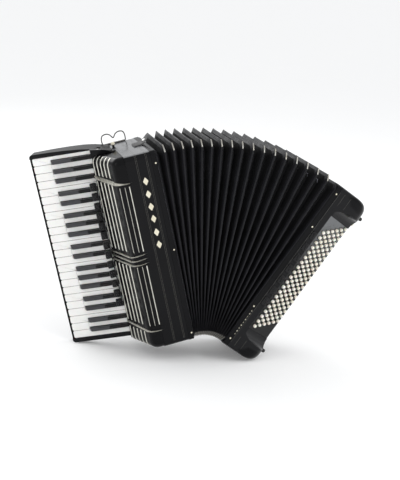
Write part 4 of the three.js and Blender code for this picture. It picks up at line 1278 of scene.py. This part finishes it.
def hand_strap():
    """A padded strap with bound edges, two rows of stitches and a metal plate at each end."""
    low, high = span("hand_strap", BASS)
    front, back = low[1], high[1]
    near, bow = low[0], high[0] - low[0]
    middle = (low[2] + high[2]) / 2
    half_length = (high[2] - low[2]) / 2
    route = [(near + 2.2 + (bow - 4.8) * math.sin(math.pi / 2 * (1 - abs(t) ** 2.6)),
              middle + half_length * t) for t in np.linspace(-0.985, 0.985, 61)]
    centre, half = (front + back) / 2, (back - front) / 2
    strap = Shape()
    rings, top = [], []
    for i, (x, z) in enumerate(route):
        out = flat_normal(route, i)
        t = abs(i / 30 - 1)
        wide = half * (1 - 0.25 * max(t - 0.6, 0) / 0.4)
        puff = 1.0 if t < 0.8 else 0.55
        profile = [(-1, -0.9), (-0.97, -1.4), (-0.86, -1.1), (-0.5, -1.7 * puff), (0, -2.1 * puff),
                   (0.5, -1.7 * puff), (0.86, -1.1), (0.97, -1.4), (1, -0.9), (1, 0.5), (0.96, 1.2),
                   (0.86, 0.9), (0.5, 1.9 * puff), (0, 2.3 * puff), (-0.5, 1.9 * puff),
                   (-0.86, 0.9), (-0.96, 1.2), (-1, 0.5)]
        rings.append([(x + out[0] * b, centre + wide * a, z + out[1] * b) for a, b in profile])
        top.append((x + out[0] * 1.0, z + out[1] * 1.0, out, wide))
    strap.loft(rings)
    for i in range(len(strap.faces)):
        if i < 60 * 18 and i % 18 in range(1, 7):
            strap.looks[i] = 1
    for side in (-1, 1):
        path = [(x, centre + side * wide * 0.86, z) for x, z, _, wide in top[2:-2]]
        stitches(strap, path, (0.9, 0, 0), 2, 3.4, 2.2, 0.4)
    obj = piece("hand_strap_pad", strap, BASS, "bass", [HIDE, VELVET, THREAD],
                ["hand_strap"], sharp=60)
    ends = Shape()
    for z in (route[0][1] + 6, route[-1][1] - 6):
        ends.block((near, centre - 22, z - 9), (near + 1.6, centre + 22, z + 9), 0.7, 0)
        for y in (centre - 16, centre + 16):
            ends.lathe([(3.4, 0), (3.4, 0.5), (2.4, 1.4), (0.5, 1.8)], (near + 1.6, y, z),
                       (1, 0, 0), 16)
    piece("hand_strap_plates", ends, BASS, "bass", [STEEL])


def end_fittings():
    for k in range(1, 5):
        name = f"foot_{k}"
        low, high = span(name, BASS)
        centre, radius, length = (low + high) / 2, (high[1] - low[1]) / 2, high[0] - low[0]
        turns = quarter(6)
        profile = [(radius * 0.9, 0), (radius, 0.8)]
        profile += [(radius - 3 + 3 * math.cos(t), length - 3 + 3 * math.sin(t)) for t in turns]
        profile += [(radius * 0.36, length - 0.1), (radius * 0.3, length - 1.2),
                    (0.2, length - 1.3)]
        shape = Shape().lathe(profile, (low[0], centre[1], centre[2]), (1, 0, 0), 24)
        piece(name + "_rubber", shape, BASS, "bass", [RUBBER], [name])
    low, high = span("air_button", BASS)
    length = high[0] - low[0]
    shape = Shape().lathe([(5.6, 0), (6, 0.5), (6, length - 2), (5.4, length - 0.7),
                           (3.6, length - 0.2), (0.3, length - 0.6)], (low[0], *AIR_BUTTON),
                          (1, 0, 0), 28)
    piece("air_button_cap", shape, BASS, "air_button", [BUTTON], ["air_button"])
    low, high = span("strap_wheel", BASS)
    length = high[0] - low[0]
    shape = Shape().lathe([(3, 0), (3, length - 8)], (low[0], *STRAP_WHEEL), (1, 0, 0), 20)
    rings = []
    for x, r in ((length - 8, 8.6), (length - 7.4, 9.5), (length - 1, 9.5), (length, 8.4)):
        rings.append([(low[0] + x, STRAP_WHEEL[0] + (r + 0.4 * (i % 2)) * math.cos(t),
                       STRAP_WHEEL[1] + (r + 0.4 * (i % 2)) * math.sin(t))
                      for i, t in enumerate(full_turn(64))])
    shape.loft(rings)
    piece("strap_wheel_knurled", shape, BASS, "strap_wheel", [STEEL],
          ["strap_wheel"], sharp=30)


# ---- inside --------------------------------------------------------------------------------
def carried_over():
    """The soundboards keep their CAD shape and take a wooden finish."""
    for node in ("treble_reed_board", "bass_reed_board"):
        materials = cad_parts[node].data.materials
        materials.clear()
        materials.append(SPRUCE)


# ---- room, light and camera ----------------------------------------------------------------
FLOOR_HALF = 40000
FLOOR_GLOW = 0.12  # the floor gives a little light of its own, to be as white as the photo's


def studio():
    corners = rectangle((-FLOOR_HALF, -FLOOR_HALF), (FLOOR_HALF, FLOOR_HALF))
    floor = Shape().add([(x, y, 0) for x, y in corners], [[0, 1, 2, 3]])
    look = Look("floor_paper")
    look.put("Base Color", look.mix(look.noise(3, 4), (0.91, 0.91, 0.91), (0.93, 0.93, 0.93)))
    look.put("Emission Color", (1, 1, 1))
    look.put("Emission Strength", FLOOR_GLOW)
    look.put("Roughness", 0.9)
    mesh = mesh_of(floor, "floor")
    mesh.materials.append(look.material)
    obj = new_object("floor", mesh)
    obj.location.z = CAD_BOX[0][2] - 0.0005
    world = bpy.data.worlds.new("studio")
    world.use_nodes = True
    sky = world.node_tree.nodes["Background"]
    sky.inputs["Color"].default_value = (0.98, 0.99, 1, 1)
    sky.inputs["Strength"].default_value = 0.88
    bpy.context.scene.world = world
    lamp("key_light", (1.7, -2.6, 3.0), (2.2, 2.2), 34)
    lamp("back_light", (-1.6, 2.6, 1.9), (2.6, 1.4), 30)
    lamp("side_light", (3.0, 0.6, 1.6), (0.8, 2.2), 14)
    lamp("fill_light", (-3.2, -1.6, 1.6), (0.8, 2.0), 10)


def lamp(name, place, size, power):
    light = bpy.data.lights.new(name, "AREA")
    light.shape, light.size, light.size_y, light.energy = "RECTANGLE", *size, power
    obj = new_object(name, light)
    obj.location = place
    obj.rotation_euler = (Vector((0, 0, 0.3)) - Vector(place)).to_track_quat("-Z", "Y").to_euler()
    obj.visible_camera = False


VIEW = {"azimuth": -14.4, "elevation": 14.6, "distance": 3.32, "lens": 97.5, "roll": 4.51}
AIM = (0.0103, 0.0, 0.2975)


def camera():
    """The view: the instrument stands level, and the camera is rolled a little."""
    a, e = math.radians(VIEW["azimuth"]), math.radians(VIEW["elevation"])
    back = Vector((math.sin(a) * math.cos(e), -math.cos(a) * math.cos(e), math.sin(e)))
    right = Vector((math.cos(a), math.sin(a), 0))
    axes = Matrix((right, back.cross(right), back)).transposed().to_4x4()
    roll = Matrix.Rotation(math.radians(-VIEW["roll"]), 4, "Y")
    data = bpy.data.cameras.new("camera")
    data.lens, data.sensor_width = VIEW["lens"], 36
    data.clip_start, data.clip_end = 0.1, 200
    obj = new_object("camera", data)
    obj.matrix_world = (Matrix.Translation(AIM) @ roll @ axes
                        @ Matrix.Translation((0, 0, VIEW["distance"])))
    bpy.context.scene.camera = obj
    bpy.context.scene.view_settings.view_transform = "Standard"


camera()
studio()
treble_casing()
bellows_frame("treble_bellows_frame", TREBLE, "treble", -1)
bellows_frame("bass_bellows_frame", BASS, "bass", 1)
frame_pins()
treble_cover()
cover_strips()
cover_bars()
treble_front()
keyboard()
treble_switches()
strap_bracket()
bellows_tab()
top_stud()
bellows()
bellows_corners()
bass_casing()
bass_front()
button_board()
button_rows()
bass_switches()
hand_strap()
end_fittings()
carried_over()
